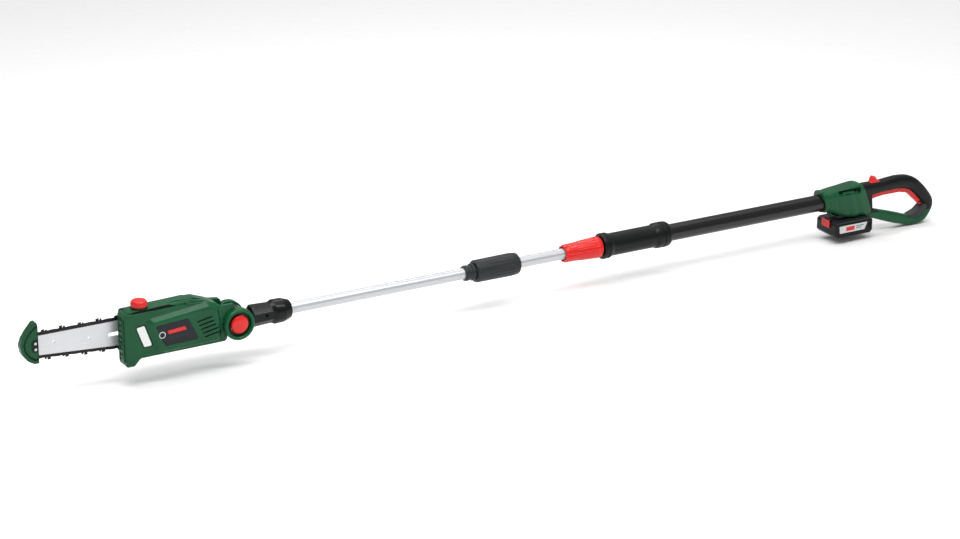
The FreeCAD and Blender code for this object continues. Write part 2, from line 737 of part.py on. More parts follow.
def gear_outline(teeth, module, tip, root, phase):
    """Involute flanks as points; tip and root are in modules, phase turns the first tooth."""
    pitch_r = module * teeth / 2
    base_r = pitch_r * math.cos(math.radians(20))
    low = pitch_r - root * module
    high = pitch_r + tip * module
    lost = 0.14 * module / (2 * pitch_r)
    half = math.pi / (2 * teeth) - lost + math.tan(math.radians(20)) - math.radians(20)
    points = []
    for tooth in range(teeth):
        centre = phase + 2 * math.pi * tooth / teeth
        flank = []
        start = max(base_r, low)
        for step in range(5):
            radius = start + (high - start) * step / 4
            roll = math.acos(min(1, base_r / radius))
            flank.append((radius, half - (math.tan(roll) - roll)))
        if low < base_r:
            flank.insert(0, (low, flank[0][1]))
        for radius, angle in flank:
            points.append((radius * math.cos(centre - angle), radius * math.sin(centre - angle)))
        for radius, angle in reversed(flank):
            points.append((radius * math.cos(centre + angle), radius * math.sin(centre + angle)))
    return points


def make_gear(label, teeth, x, h, bore, phase, tip, low, high):
    """Spur gear blank about Y with a shaft bore."""
    outline = gear_outline(int(teeth), size("module"), tip, 1.25, phase)
    cx = size(x)
    cz = size(f"axis_z + ({h})")
    low_y = size(low)
    high_y = size(high)
    blank = plate([(cx + a, cz + b) for a, b in outline], low_y, high_y)
    shape = blank.cut(pin(cx, cz, size(bore), low_y - 1, high_y + 1))
    return keep_shape(label, shape)


def make_drive():
    shaft = new_body("drive_shaft")
    profile = [("split_y + 0.5", "0"), ("split_y + 0.5", "5"), ("21", "5"), ("21", "0")]
    turn(shaft, "Revolution", "Y", profile, x="sprocket_x", h="sprocket_h")
    bearing = new_body("shaft_bearing")
    profile = [
        ("pad_y - wall", "5 + run"), ("pad_y - wall", "9"), ("pad_y + 2", "9"), ("pad_y + 2", "5 + run"),
    ]
    turn(bearing, "Revolution", "Y", profile, x="sprocket_x", h="sprocket_h")
    sprocket = new_body("chain_sprocket")
    profile = [
        ("bar_mid_y - 4.4", "5"), ("bar_mid_y - 4.4", "8"), ("bar_mid_y - 2.4", "rim_r - 0.3"),
        ("bar_mid_y - 0.8", "rim_r - 0.3"), ("bar_mid_y - 0.8", "9.5"), ("bar_mid_y + 0.8", "9.5"),
        ("bar_mid_y + 0.8", "rim_r - 0.3"), ("bar_mid_y + 2.4", "rim_r - 0.3"), ("bar_mid_y + 3.6", "8"),
        ("bar_mid_y + 3.6", "5"),
    ]
    turn(sprocket, "Revolution", "Y", profile, x="sprocket_x", h="sprocket_h")
    gear_span = ("split_y + 2", "split_y + 2 + gear_face")
    gear = make_gear("output_gear", size("gear_teeth"), "sprocket_x", "sprocket_h", "5", 0, 0.9, *gear_span)
    shift = math.pi / size("pinion_teeth") + math.pi
    pinion = make_gear("motor_pinion", size("pinion_teeth"), "motor_x", "motor_h", "2.5", shift, 0.9,
                       *gear_span)
    can = new_body("motor_can")
    near = "-ear_y + 1 + wall"
    profile = [
        (near, "2.5 + run"), (near, "motor_r"), ("split_y - 2", "motor_r"), ("split_y - 2", "2.5 + run"),
        ("split_y - 4", "2.5 + run"), ("split_y - 4", "motor_r - 3"), (f"{near} + 2", "motor_r - 3"),
        (f"{near} + 2", "2.5 + run"),
    ]
    turn(can, "Revolution", "Y", profile, x="motor_x", h="motor_h")
    rotor = new_body("motor_rotor")
    profile = [
        (f"{near} + 0.3", "0"), (f"{near} + 0.3", "2.5"), (f"{near} + 3", "2.5"),
        (f"{near} + 3", "motor_r - 6"),
        ("split_y - 5", "motor_r - 6"), ("split_y - 5", "2.5"), ("split_y + 8", "2.5"), ("split_y + 8", "0"),
    ]
    turn(rotor, "Revolution", "Y", profile, x="motor_x", h="motor_h")
    return [shaft, bearing, sprocket, gear, pinion, can, rotor]


def make_head_fittings():
    stud = rod("bar_stud", "Y", "stud_x", "pad_y - wall", "bar_h", "stud_r", "ear_y - pad_y + wall - 1")
    knob = new_body("cover_knob")
    profile = [
        ("bar_far_y + 2", "stud_r + run"), ("bar_far_y + 2", "6.5"), ("ear_y - 7.7", "6.5"),
        ("ear_y - 7.7", "16.5"), ("batt_y - 1", "15.5"), ("batt_y - 0.1", "13"), ("batt_y - 0.1", "0"),
        ("batt_y - 3", "0"), ("batt_y - 3", "stud_r + run"),
    ]
    turn(knob, "Revolution", "Y", profile, x="stud_x", h="bar_h")
    flute = extrude(knob, "Pocket", "XZ", [("circle", "18.5", "0", "4.2")], "ear_y - 8", "batt_y",
                    "stud_x", "axis_z + bar_h")
    ring(knob, 8, flute, "N_Axis")
    tank = new_body("oil_tank")
    side = [
        ("head_x + 9", "-28"), ("head_x + 52", "-28"), ("head_x + 52", "55"), ("head_x + 9", "55"),
    ]
    extrude(tank, "Pad", "XZ", [side], "-body_y + wall", "pad_y - wall - 0.5")
    dress(tank, "Fillet", lambda edge: True, "2")
    filler = [("52", "0"), ("52", "9.5"), ("cap_h - 0.5", "9.5"), ("cap_h - 0.5", "0")]
    turn(tank, "Revolution", "Z", filler, x="cap_x", y="cap_y")
    inside = [
        ("head_x + 10.5", "-26.5"), ("head_x + 50.5", "-26.5"), ("head_x + 50.5", "53.5"),
        ("head_x + 10.5", "53.5"),
    ]
    extrude(tank, "Pocket", "XZ", [inside], "-body_y + wall + 1.5", "pad_y - wall - 2")
    mouth = [("50", "0"), ("50", "7.5"), ("cap_h", "7.5"), ("cap_h", "0")]
    turn(tank, "Groove", "Z", mouth, x="cap_x", y="cap_y")
    cap = new_body("oil_cap")
    profile = [
        ("cap_h + 1", "3"), ("cap_h + 1", "16"), ("cap_h + 11", "15.6"), ("cap_h + 13.5", "13.5"),
        ("cap_h + 13.5", "0"), ("cap_h + 10", "0"), ("cap_h + 10", "3"),
    ]
    turn(cap, "Revolution", "Z", profile, x="cap_x", y="cap_y")
    seal = new_body("oil_cap_seal")
    profile = [
        ("cap_h - 12", "0"), ("cap_h - 12", "7"), ("cap_h - 0.5", "7.44"), ("cap_h - 0.5", "9.4"),
        ("cap_h + 0.9", "9.4"), ("cap_h + 0.9", "3 - run"), ("cap_h + 9.8", "3 - run"), ("cap_h + 9.8", "0"),
    ]
    turn(seal, "Revolution", "Z", profile, x="cap_x", y="cap_y")
    window = new_body("oil_window")
    extrude(window, "Pad", "XZ", [WINDOW], "-body_y - 0.4", "-body_y + wall")
    badge = new_body("side_badge")
    extrude(badge, "Pad", "XZ", [BADGE], "-ear_y + 0.7", "-ear_y + 2")
    guard_screws = screws("guard_screws", [(x, "bar_mid_y - 8.3", h) for x, h in GUARD_SCREWS],
                          ("2.8", "0.8"), ("1.6", "13"))
    head_screws = screws("head_screws", [(x, "-body_y", h) for x, h in HEAD_SCREWS],
                         ("3", "2.5"), ("1.5", "26"))
    return [stud, knob, tank, cap, seal, window, badge, guard_screws, head_screws]


# ---------------------------------------------------------------- pole
def make_socket():
    body = new_body("tilt_socket")
    extrude(body, "Pad", "XZ", [("circle", "pivot_x", "0", "knuckle_r")], "-knuckle_y", "knuckle_y")
    web = [("pivot_x", "-24"), ("socket_x + 8", "-26"), ("socket_x + 8", "26"), ("pivot_x", "24")]
    extrude(body, "Pad", "XZ", [web], "-knuckle_y", "knuckle_y")
    profile = [
        ("socket_x", "0"), ("socket_x", "22"), ("socket_x + 6", "26"), ("socket_x + 46", "26"),
        ("socket_x + 52", "28"), ("socket_end - 12", "28"), ("socket_end - 3", "24"), ("socket_end", "17"),
        ("socket_end", "0"),
    ]
    turn(body, "Revolution", "X", profile)
    teeth = []
    for step in range(7):
        angle = math.radians(100 - 8 * step)
        reach = f"(knuckle_r + 1) * {math.cos(angle):.4f}"
        rise = f"(knuckle_r + 1) * {math.sin(angle):.4f}"
        teeth.append(("circle", f"pivot_x + {reach}", rise, "1.3"))
    extrude(body, "Pocket", "XZ", teeth, "-knuckle_y - 1", "knuckle_y + 1")
    for side in ("-30", "24.5"):
        flat = [
            ("socket_x + 8", "-9"), ("socket_x + 38", "-9"), ("socket_x + 38", "9"), ("socket_x + 8", "9"),
        ]
        extrude(body, "Pocket", "XZ", [flat], side, f"{side} + 5.5")
    bore_spots(body, [("pivot_x", "0")], "bolt_r", "-knuckle_y - 1", "knuckle_y + 1")
    tube_bore = [
        ("tube_in_x", "0"), ("tube_in_x", "slim_r"), ("socket_end + 1", "slim_r"), ("socket_end + 1", "0"),
    ]
    turn(body, "Groove", "X", tube_bore)
    bore_spots(body, SOCKET_SCREWS, "1.5", "-30", "-slim_r + slim_wall")
    return body


SOCKET_SCREWS = [("socket_x + 30", "0")]


def tube(label, start, end, radius, bore):
    body = new_body(label)
    turn(body, "Revolution", "X", [(start, bore), (start, radius), (end, radius), (end, bore)])
    return body


def make_upper():
    upper = tube("upper_tube", "tube_in_x", "sleeve_x + 48", "slim_r", "slim_r - slim_wall")
    bore_spots(upper, SOCKET_SCREWS, "1.5", "-slim_r - 1", "0")
    collar = new_body("coupling_collar")
    profile = [
        ("collar_x", "slim_r"), ("collar_x", "15"), ("collar_x + 2", "16"), ("sleeve_x + 3", "16"),
        ("sleeve_x + 3", "slim_r"),
    ]
    turn(collar, "Revolution", "X", profile)
    notch = [("collar_x + 8", "9"), ("collar_x + 16", "9"), ("collar_x + 16", "20"), ("collar_x + 8", "20")]
    extrude(collar, "Pocket", "XZ", [notch], "-18", "18")
    core = new_body("coupling_core")
    profile = [
        ("sleeve_x + 3", "slim_r"), ("sleeve_x + 3", "20"), ("sleeve_end - 4", "20"),
        ("sleeve_end - 4", "slim_r"),
    ]
    turn(core, "Revolution", "X", profile)
    sleeve = new_body("coupling_sleeve")
    profile = [
        ("sleeve_x", "16 + free"), ("sleeve_x", "22.5"), ("sleeve_x + 3", "24.5"),
        ("sleeve_end - 14", "24.5"),
        ("sleeve_end - 4", "22"), ("sleeve_end", "16"), ("sleeve_end", "slim_r + free"),
        ("sleeve_end - 3.5", "slim_r + free"), ("sleeve_end - 3.5", "20 + run"),
        ("sleeve_x + 2.5", "20 + run"),
        ("sleeve_x + 2.5", "16 + free"),
    ]
    turn(sleeve, "Revolution", "X", profile)
    groove = [("circle", "0", "25.8", "2.6")]
    flute = extrude(sleeve, "Pocket", "YZ", groove, "sleeve_x + 10", "sleeve_end - 18")
    ring(sleeve, 16, flute, "N_Axis")
    inner = tube("inner_tube", "inner_x", "inner_end", "slim_r", "slim_r - slim_wall")
    bush = new_body("glide_bush")
    profile = [
        ("inner_end - 45", "slim_r"), ("inner_end - 45", "outer_bore - run"),
        ("inner_end", "outer_bore - run"), ("inner_end", "slim_r"),
    ]
    turn(bush, "Revolution", "X", profile)
    reach = "24.5 - slim_r + slim_wall"
    end_stop = screws("socket_screw", [("socket_x + 30", "-26.5", "0")], ("3.2", "2"), ("1.5", reach))
    return [upper, collar, core, sleeve, inner, bush, end_stop]


def make_lock():
    """Twist collar over a slit collet that is bonded to the end of the outer tube."""
    collet = new_body("lock_collet")
    profile = [
        ("lock_x + 4", "slim_r + run"), ("lock_x + 4", "collet_r - 5.4"),
        ("lock_x + 50", "collet_r - 4"), ("lock_x + 50", "collet_r"),
        ("lock_end", "collet_r"), ("lock_end", "outer_r"), ("outer_x", "outer_r"), ("outer_x", "slim_r + run"),
    ]
    turn(collet, "Revolution", "X", profile)
    slit = [("-1", "-collet_r"), ("1", "-collet_r"), ("1", "collet_r"), ("-1", "collet_r")]
    extrude(collet, "Pocket", "YZ", [slit], "lock_x + 3", "lock_x + 40")
    extrude(collet, "Pocket", "XZ", [[
        ("lock_x + 3", "-1"), ("lock_x + 40", "-1"), ("lock_x + 40", "1"), ("lock_x + 3", "1"),
    ]], "-collet_r", "collet_r")
    collar = new_body("lock_collar")
    profile = [
        ("lock_x", "slim_r + free"), ("lock_x", "collet_r - 1.9"), ("lock_x + 3", "collet_r - 0.4"),
        ("lock_x + 30", "collet_r - 0.2"), ("lock_x + 40", "collet_r + 2.2"),
        ("lock_end - 4", "collet_r + 3.4"), ("lock_end - 1", "collet_r + 2.1"),
        ("lock_end - 1", "collet_r + run"), ("lock_x + 49", "collet_r + run"),
        ("lock_x + 49", "collet_r - 3.5"), ("lock_x + 3.5", "collet_r - 5"),
        ("lock_x + 3.5", "slim_r + free"),
    ]
    turn(collar, "Revolution", "X", profile)
    flute = extrude(collar, "Pocket", "YZ", [("circle", "0", "collet_r + 5.8", "4.2")], "lock_x + 34", "lock_end - 8")
    ring(collar, 12, flute, "N_Axis")
    lobe = extrude(collar, "Pocket", "YZ", [("circle", "0", "collet_r + 4.2", "6")], "lock_x - 1", "lock_x + 26")
    ring(collar, 6, lobe, "N_Axis")
    outer = tube("outer_tube", "outer_x", "outer_end", "outer_r", "outer_bore")
    grip = new_body("front_grip")
    start = "lock_end + 1"
    profile = [
        (start, "outer_r"), (start, "flange_r - 2.5"), (f"{start} + 3", "flange_r"),
        (f"{start} + 8", "flange_r"), (f"{start} + 9", "flange_r - 2"), (f"{start} + 11", "flange_r - 2"),
        (f"{start} + 12", "flange_r"), (f"{start} + 17", "flange_r - 0.5"),
        (f"{start} + 24", "grip_r - 0.2"), ("grip_end - 40", "grip_r"),
        ("grip_end - 34", "flange_r"), ("grip_end - 24", "flange_r"), ("grip_end - 22", "flange_r - 2.5"),
        ("grip_end - 20", "flange_r - 2.5"), ("grip_end - 18", "flange_r"),
        ("grip_end - 6", "flange_r - 1"), ("grip_end", "grip_r - 3"), ("grip_end", "outer_r"),
    ]
    turn(grip, "Revolution", "X", profile)
    return [collet, collar, outer, grip]


# ---------------------------------------------------------------- rear handle
def loop_point(along, height):
    """Outline point of the rear handle; the D loop stretches with the handle length."""
    if along <= 150:
        return (f"handle_x + {along}", f"{height}")
    return (f"d_x + {along - 150:g} * d_scale", f"{height}")


def loop(points):
    return [loop_point(along, height) for along, height in points]


CORE = loop([
    (100, 18), (178, 18.4), (208, 27.4), (244, 25.9), (270, 17.4), (292, -0.6), (316, -24.6),
    (331.5, -42), (333, -52), (325, -70), (308, -85), (291, -95), (270, -95), (249, -91), (215, -79),
    (183, -67), (151, -55), (140, -50), (139, -46.5), (100, -36),
])
OPENING = loop([
    (154, -5), (160, -1), (205, -1), (228, -1.5), (257, -8), (281, -29), (300.5, -47), (281, -62),
    (254, -69), (204, -52.5), (170, -40), (156, -33),
])
HOUSING = loop([
    (6, 29.5), (52, 29.4), (57, 33), (115, 33.5), (119, 20), (125, -6), (133, -22.5), (141, -33),
    (144, -46.5), (120, -45.5), (77, -36), (24, -21), (13, -17),
])
HOUSING_INSIDE = loop([(33, 26), (112, 26), (118, 4), (128, -26), (132, -38), (77, -32), (33, -19)])
GRIP = loop([
    (119, 21), (178, 21), (208, 30), (244, 28.5), (270, 20), (294, 2), (319, -22), (334.5, -40),
    (336, -52), (326, -68), (283, -60.5), (300.5, -47), (281, -29), (257, -8), (228, -1.5), (205, -1),
    (160, -1), (154, -5), (156, -33), (166, -38), (146, -46), (133, -22.5), (125, -6),
])
TRIGGER = loop([
    (156, -17), (168, -12), (180, -10), (229, -10.5), (251, -15), (288, -48), (297, -50), (302, -40),
    (282, -18), (258, 3), (228, 8), (156, 3),
])
TRIGGER_ROOM = loop([
    (152, 12), (152, -8), (229, -6), (252, -14), (289, -53), (306, -53), (309, -38), (287, -12),
    (262, 8), (240, 17), (205, 18), (175, 14.5), (152, 14.5),
])
TRIGGER_PIN = loop_point(295, -43)
LOCK_ROOM = loop([(140, 16), (177, 16), (177, 34), (140, 34)])
HANDLE_SCREWS = loop([(14, 24.5), (106, 29.5), (205, -63), (285, -84), (317, -48)])
SWITCH_ROOM = loop([(117, -25), (150.5, -25), (150.5, -8), (153, -8), (153, 13), (117, 13)])
BLADE_ROOM = loop([(99, -50), (119, -50), (119, -30), (99, -30)])


def make_handle_shell(label, side):
    """Half shell of the handle: side -1 is the near (-Y) half, +1 the far half."""
    def span(inner, outer):
        return (f"-({outer})", f"-({inner})") if side < 0 else (inner, outer)
    body = new_body(label)
    extrude(body, "Pad", "XZ", [CORE, OPENING], *span("0", "core_y"))
    extrude(body, "Pad", "XZ", [HOUSING], *span("0", "body_y"))
    flank = "-body_y" if side < 0 else "body_y"
    dress(body, "Chamfer", in_plane("Y", flank), "5")
    extrude(body, "Pocket", "XZ", [HOUSING_INSIDE], *span("0", "body_y - wall"))
    bore = [
        ("handle_x - 1", "0"), ("handle_x - 1", "outer_r"), ("outer_end", "outer_r"),
        ("outer_end", "outer_bore + free"), ("outer_end + 5", "outer_bore + free"), ("outer_end + 5", "0"),
    ]
    turn(body, "Groove", "X", bore)
    extrude(body, "Pocket", "XZ", [TRIGGER_ROOM], *span("0", "trigger_y + free"))
    extrude(body, "Pocket", "XZ", [LOCK_ROOM], *span("0", "8 + free"))
    extrude(body, "Pocket", "XZ", [SWITCH_ROOM], *span("0", "switch_y"))
    extrude(body, "Pocket", "XZ", [BLADE_ROOM], *span("0", "7"))
    bore_spots(body, [TRIGGER_PIN], "2", *span("0", "10"))
    if side < 0:
        heads = [("circle", x, h, "3.2") for x, h in HANDLE_SCREWS]
        extrude(body, "Pocket", "XZ", heads, "-body_y", "-core_y + 2.5")
        bore_spots(body, HANDLE_SCREWS, "1.5", "-core_y", "0")
    else:
        bore_spots(body, HANDLE_SCREWS, "1.5", "0", "9")
    return body


def make_soft_grip():
    body = new_body("grip_overmould")
    extrude(body, "Pad", "XZ", [GRIP], "-core_y - skin", "core_y + skin")
    dress(body, "Chamfer", in_plane("Y", "-core_y - skin"), "2")
    dress(body, "Chamfer", in_plane("Y", "core_y + skin"), "2")
    extrude(body, "Pocket", "XZ", [CORE], "-core_y", "core_y")
    extrude(body, "Pocket", "XZ", [HOUSING], "-body_y", "body_y")
    lock_slot = loop([(140, 15), (177, 15), (177, 34), (140, 34)])
    extrude(body, "Pocket", "XZ", [lock_slot], "-8 - free", "8 + free")
    return body


def make_controls():
    trigger = new_body("trigger")
    extrude(trigger, "Pad", "XZ", [TRIGGER], "-trigger_y", "trigger_y")
    dress(trigger, "Fillet", in_plane("Y", "-trigger_y"), "1")
    dress(trigger, "Fillet", in_plane("Y", "trigger_y"), "1")
    bore_spots(trigger, [TRIGGER_PIN], "2 + run", "-trigger_y - 1", "trigger_y + 1")
    spot = (loop_point(215, 0)[0], "0")
    trigger_spring = make_spring("trigger_spring", 2.4, 0.5, 4, spot, ("7.2", "17.4"), "Z")
    trigger_pin = rod("trigger_pin", "Y", TRIGGER_PIN[0], "-10", TRIGGER_PIN[1], "2", "20")
    lock = new_body("lock_off_slider")
    side = loop([
        (146, 18), (173, 18), (173, 22), (170, 29), (163, 36), (157, 40), (151, 40), (147, 35),
        (144, 30), (143, 24),
    ])
    extrude(lock, "Pad", "XZ", [side], "-8", "8")
    dress(lock, "Chamfer", in_plane("Y", "-8"), "2")
    dress(lock, "Chamfer", in_plane("Y", "8"), "2")
    lock_span = (loop_point(173, 0)[0], loop_point(177, 0)[0])
    lock_spring = make_spring("lock_off_spring", 1.6, 0.35, 3, ("0", "20"), lock_span, "X")
    switch = block("switch_module", "handle_x + 118", "-switch_y", "-24.5", "30", "2 * switch_y", "25")
    board = block("control_board", "handle_x + 45", "-body_y + wall", "-12", "60", "2", "30")
    terminal = make_terminals()
    screws_done = screws("handle_screws", [(x, "-core_y", h) for x, h in HANDLE_SCREWS],
                         ("3", "2.5"), ("1.5", "19"))
    return [trigger, trigger_spring, trigger_pin, lock, lock_spring, switch, board, terminal, screws_done]


def make_terminals():
    base = block("terminal_base", "handle_x + 88", "-12", "-33", "34", "24", "4")
    blades = [
        block(f"terminal_blade_{n}", "handle_x + 100", y, "-50", "18", "1", "17")
        for n, y in enumerate(("-6", "-0.5", "5"))
    ]
    return fuse("terminal_block", [base] + blades)


def make_battery():
    case = new_body("battery_case")
    front = [
        ("-batt_y + 5", "-batt_drop"), ("batt_y - 5", "-batt_drop"), ("batt_y", "-batt_drop + 6"),
        ("batt_y", "-56"), ("26", "-47"), ("-26", "-47"), ("-batt_y", "-56"), ("-batt_y", "-batt_drop + 6"),
    ]
    extrude(case, "Pad", "YZ", [front], "batt_x", "batt_end")
    extrude(case, "Pad", "XZ", [[
        ("batt_x", "-48"), ("batt_end - 12", "-48"), ("batt_end - 18", "-46.3"), ("batt_x + 42", "-36.8"),
        ("batt_x", "-25.2"),
    ]], "-20", "20")
    cells_room = [
        ("batt_x + 9.4", "-76"), ("batt_end - 2.2", "-76"), ("batt_end - 2.2", "-56.5"),
        ("batt_x + 9.4", "-56.5"),
    ]
    extrude(case, "Pocket", "XZ", [cells_room], "-cell_len / 2 - 0.5", "cell_len / 2 + 0.5")
    blade_slot = [
        ("handle_x + 96", "-52.5"), ("batt_end + 1", "-52.5"), ("batt_end + 1", "-30"),
        ("handle_x + 96", "-30"),
    ]
    extrude(case, "Pocket", "XZ", [blade_slot], "-8", "8")
    button_room = [("batt_x - 1", "-60"), ("batt_x + 8", "-60"), ("batt_x + 8", "-30"), ("batt_x - 1", "-30")]
    extrude(case, "Pocket", "XZ", [button_room], "-18.5", "18.5")
    label_bed = [
        ("batt_x + 12", "-72"), ("batt_x + 90", "-72"), ("batt_x + 90", "-55"), ("batt_x + 12", "-55"),
    ]
    extrude(case, "Pocket", "XZ", [label_bed], "-batt_y", "-batt_y + 0.4")
    cells = []
    for number in range(5):
        x = f"batt_x + 9.4 + cell_r * {2 * number + 1} + {0.05 * number:.2f}"
        cell = rod(f"cell_{number}", "Y", x, "-cell_len / 2", "-76 + cell_r", "cell_r - 0.02", "cell_len")
        cells.append(cell)
    cell_group = group("battery_cells", cells)
    label = block("battery_label", "batt_x + 12", "-batt_y", "-72", "78", "0.4", "17")
    release = new_body("battery_release")
    press = [
        ("batt_x - 3", "-58"), ("batt_x + 3", "-59.5"), ("batt_x + 3", "-30.5"), ("batt_x - 1", "-31"),
        ("batt_x - 3", "-33"),
    ]
    extrude(release, "Pad", "XZ", [press], "-18", "18")
    release_spring = make_spring("release_spring", 4, 0.6, 2, ("0", "-45"), ("batt_x + 3", "batt_x + 8"), "X")
    return [case, cell_group, label, release, release_spring]


# ---------------------------------------------------------------- build and export
def main():
    nodes = [make_housing_left(), make_housing_right(), make_cover(), make_bar(), make_guard()]
    nodes += make_pivot()
    nodes += make_chain()
    nodes += make_drive()
    nodes += make_head_fittings()
    nodes.append(make_socket())
    nodes += make_upper()
    nodes += make_lock()
    nodes.append(make_handle_shell("handle_shell_left", -1))
    nodes.append(make_handle_shell("handle_shell_right", 1))
    nodes.append(make_soft_grip())
    nodes += make_controls()
    nodes += make_battery()
    doc.recompute()
    for item in doc.Objects:
        bad = [word for word in item.State if word in ("Invalid", "Error")]
        if bad:
            raise RuntimeError(f"{item.Label}: {bad}")
    for node in nodes:
        if node.Shape.isNull() or not node.Shape.isValid():
            raise RuntimeError(f"{node.Label}: shape is not valid")
    for node in nodes:
        node.Shape.exportStep(f"parts/{node.Label}.step")


main()
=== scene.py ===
import json
import math

import bmesh
import bpy
from mathutils import Matrix, Vector

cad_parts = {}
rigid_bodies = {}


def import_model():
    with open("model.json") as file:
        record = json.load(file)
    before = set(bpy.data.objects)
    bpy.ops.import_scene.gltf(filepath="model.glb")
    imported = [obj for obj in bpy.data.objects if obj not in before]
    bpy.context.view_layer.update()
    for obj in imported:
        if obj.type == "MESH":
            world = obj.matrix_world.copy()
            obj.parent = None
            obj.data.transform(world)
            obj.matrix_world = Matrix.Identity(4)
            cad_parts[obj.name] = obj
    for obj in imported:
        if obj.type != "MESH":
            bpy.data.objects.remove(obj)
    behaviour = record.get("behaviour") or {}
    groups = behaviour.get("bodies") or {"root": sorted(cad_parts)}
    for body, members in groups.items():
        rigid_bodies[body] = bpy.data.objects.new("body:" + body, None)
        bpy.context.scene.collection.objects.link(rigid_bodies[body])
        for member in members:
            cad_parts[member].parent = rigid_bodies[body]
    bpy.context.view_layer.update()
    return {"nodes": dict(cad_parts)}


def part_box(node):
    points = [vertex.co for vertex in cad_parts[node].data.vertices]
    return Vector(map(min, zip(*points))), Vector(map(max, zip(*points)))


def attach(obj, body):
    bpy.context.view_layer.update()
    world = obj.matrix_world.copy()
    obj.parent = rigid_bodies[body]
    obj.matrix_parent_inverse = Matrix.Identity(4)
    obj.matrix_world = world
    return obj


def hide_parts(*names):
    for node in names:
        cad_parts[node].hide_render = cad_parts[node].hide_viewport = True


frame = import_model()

MM = 0.001
AXIS = 0.095                    # pole axis above the floor
SHARP_DEG = 32                  # faces that meet at more than this stay crisp
LEAST_RIM = 0.001               # an outline with no rim rounding, mm

# stations along the pole, mm, as the CAD boxes give them
HEAD_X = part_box("head_housing_left")[0][0] / MM + 5
PIVOT_X = (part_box("tilt_button")[0][0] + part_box("tilt_button")[1][0]) / 2 / MM
HANDLE_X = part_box("handle_shell_left")[0][0] / MM
TIP_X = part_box("nose_guard")[0][0] / MM
BATT_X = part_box("battery_case")[0][0] / MM
GRIP_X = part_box("front_grip")[0][0] / MM
GRIP_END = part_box("front_grip")[1][0] / MM
LOCK_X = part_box("lock_collar")[0][0] / MM
SLEEVE_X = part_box("coupling_sleeve")[0][0] / MM


# ------------------------------------------------------------------ materials
def shader(name):
    material = bpy.data.materials.new(name)
    material.use_nodes = True
    tree = material.node_tree
    return material, tree, tree.nodes["Principled BSDF"]


def link(tree, source, out, target, into):
    tree.links.new(source.outputs[out], target.inputs[into])


def noise_node(tree, coords, scale, detail, rough=0.55, stretch=None):
    """Noise on object coordinates, in metres, optionally stretched."""
    if stretch:
        squeeze = tree.nodes.new("ShaderNodeMapping")
        squeeze.inputs["Scale"].default_value = stretch
        link(tree, coords, "Object", squeeze, "Vector")
    noise = tree.nodes.new("ShaderNodeTexNoise")
    noise.inputs["Scale"].default_value = scale
    noise.inputs["Detail"].default_value = detail
    noise.inputs["Roughness"].default_value = rough
    if stretch:
        link(tree, squeeze, "Vector", noise, "Vector")
    else:
        link(tree, coords, "Object", noise, "Vector")
    return noise


def ramp_node(tree, source, out, stops):
    ramp = tree.nodes.new("ShaderNodeValToRGB")
    for index, (place, colour) in enumerate(stops):
        stop = ramp.color_ramp.elements[index] if index < 2 else ramp.color_ramp.elements.new(place)
        stop.position = place
        stop.color = (*colour, 1)
    link(tree, source, out, ramp, "Fac")
    return ramp


def span_node(tree, source, out, low, high):
    span = tree.nodes.new("ShaderNodeMapRange")
    span.inputs["To Min"].default_value = low
    span.inputs["To Max"].default_value = high
    link(tree, source, out, span, "Value")
    return span


def bump_node(tree, source, out, strength, distance, after=None):
    bump = tree.nodes.new("ShaderNodeBump")
    bump.inputs["Strength"].default_value = strength
    bump.inputs["Distance"].default_value = distance
    link(tree, source, out, bump, "Height")
    if after:
        link(tree, after, "Normal", bump, "Normal")
    return bump


def mixed(low, high, share):
    return tuple(a + (b - a) * share for a, b in zip(low, high))


def moulded(name, colour, rough, grain=2600, depth=0.00004, scuff=0.3, coat=0.0, spread=0.16, sheen=0.2):
    """Injection moulded plastic: spark grain, faint colour drift, fine scuffs that change the gloss."""
    material, tree, base = shader(name)
    coords = tree.nodes.new("ShaderNodeTexCoord")
    drift = noise_node(tree, coords, 9, 4)
    dark = mixed(colour, (0, 0, 0), spread)
    light = tuple(min(1.0, part * (1 + spread)) for part in colour)
    tint = ramp_node(tree, drift, "Fac", [(0.32, dark), (0.68, light)])
    scratch = noise_node(tree, coords, 300, 6, 0.7, stretch=(0.25, 1, 1.6))
    marks = ramp_node(tree, scratch, "Fac", [(0.62, (0, 0, 0)), (0.78, (scuff, scuff, scuff))])
    worn = tree.nodes.new("ShaderNodeMix")
    worn.data_type = "RGBA"
    worn.inputs["B"].default_value = (*mixed(colour, (0.55, 0.56, 0.55), 0.008), 1)
    link(tree, marks, "Color", worn, "Factor")
    link(tree, tint, "Color", worn, "A")
    link(tree, worn, "Result", base, "Base Color")
    gloss = noise_node(tree, coords, 55, 6, 0.65)
    spans = span_node(tree, gloss, "Fac", rough * 0.8, min(1.0, rough * 1.28))
    link(tree, spans, "Result", base, "Roughness")
    grit = noise_node(tree, coords, grain, 2)
    fine = bump_node(tree, grit, "Fac", 0.25, depth)
    wave = noise_node(tree, coords, 60, 2)
    soft = bump_node(tree, wave, "Fac", 0.12, 0.0001, after=fine)
    link(tree, soft, "Normal", base, "Normal")
    base.inputs["Coat Weight"].default_value = coat
    base.inputs["Coat Roughness"].default_value = 0.12
    base.inputs["Specular IOR Level"].default_value = sheen
    return material


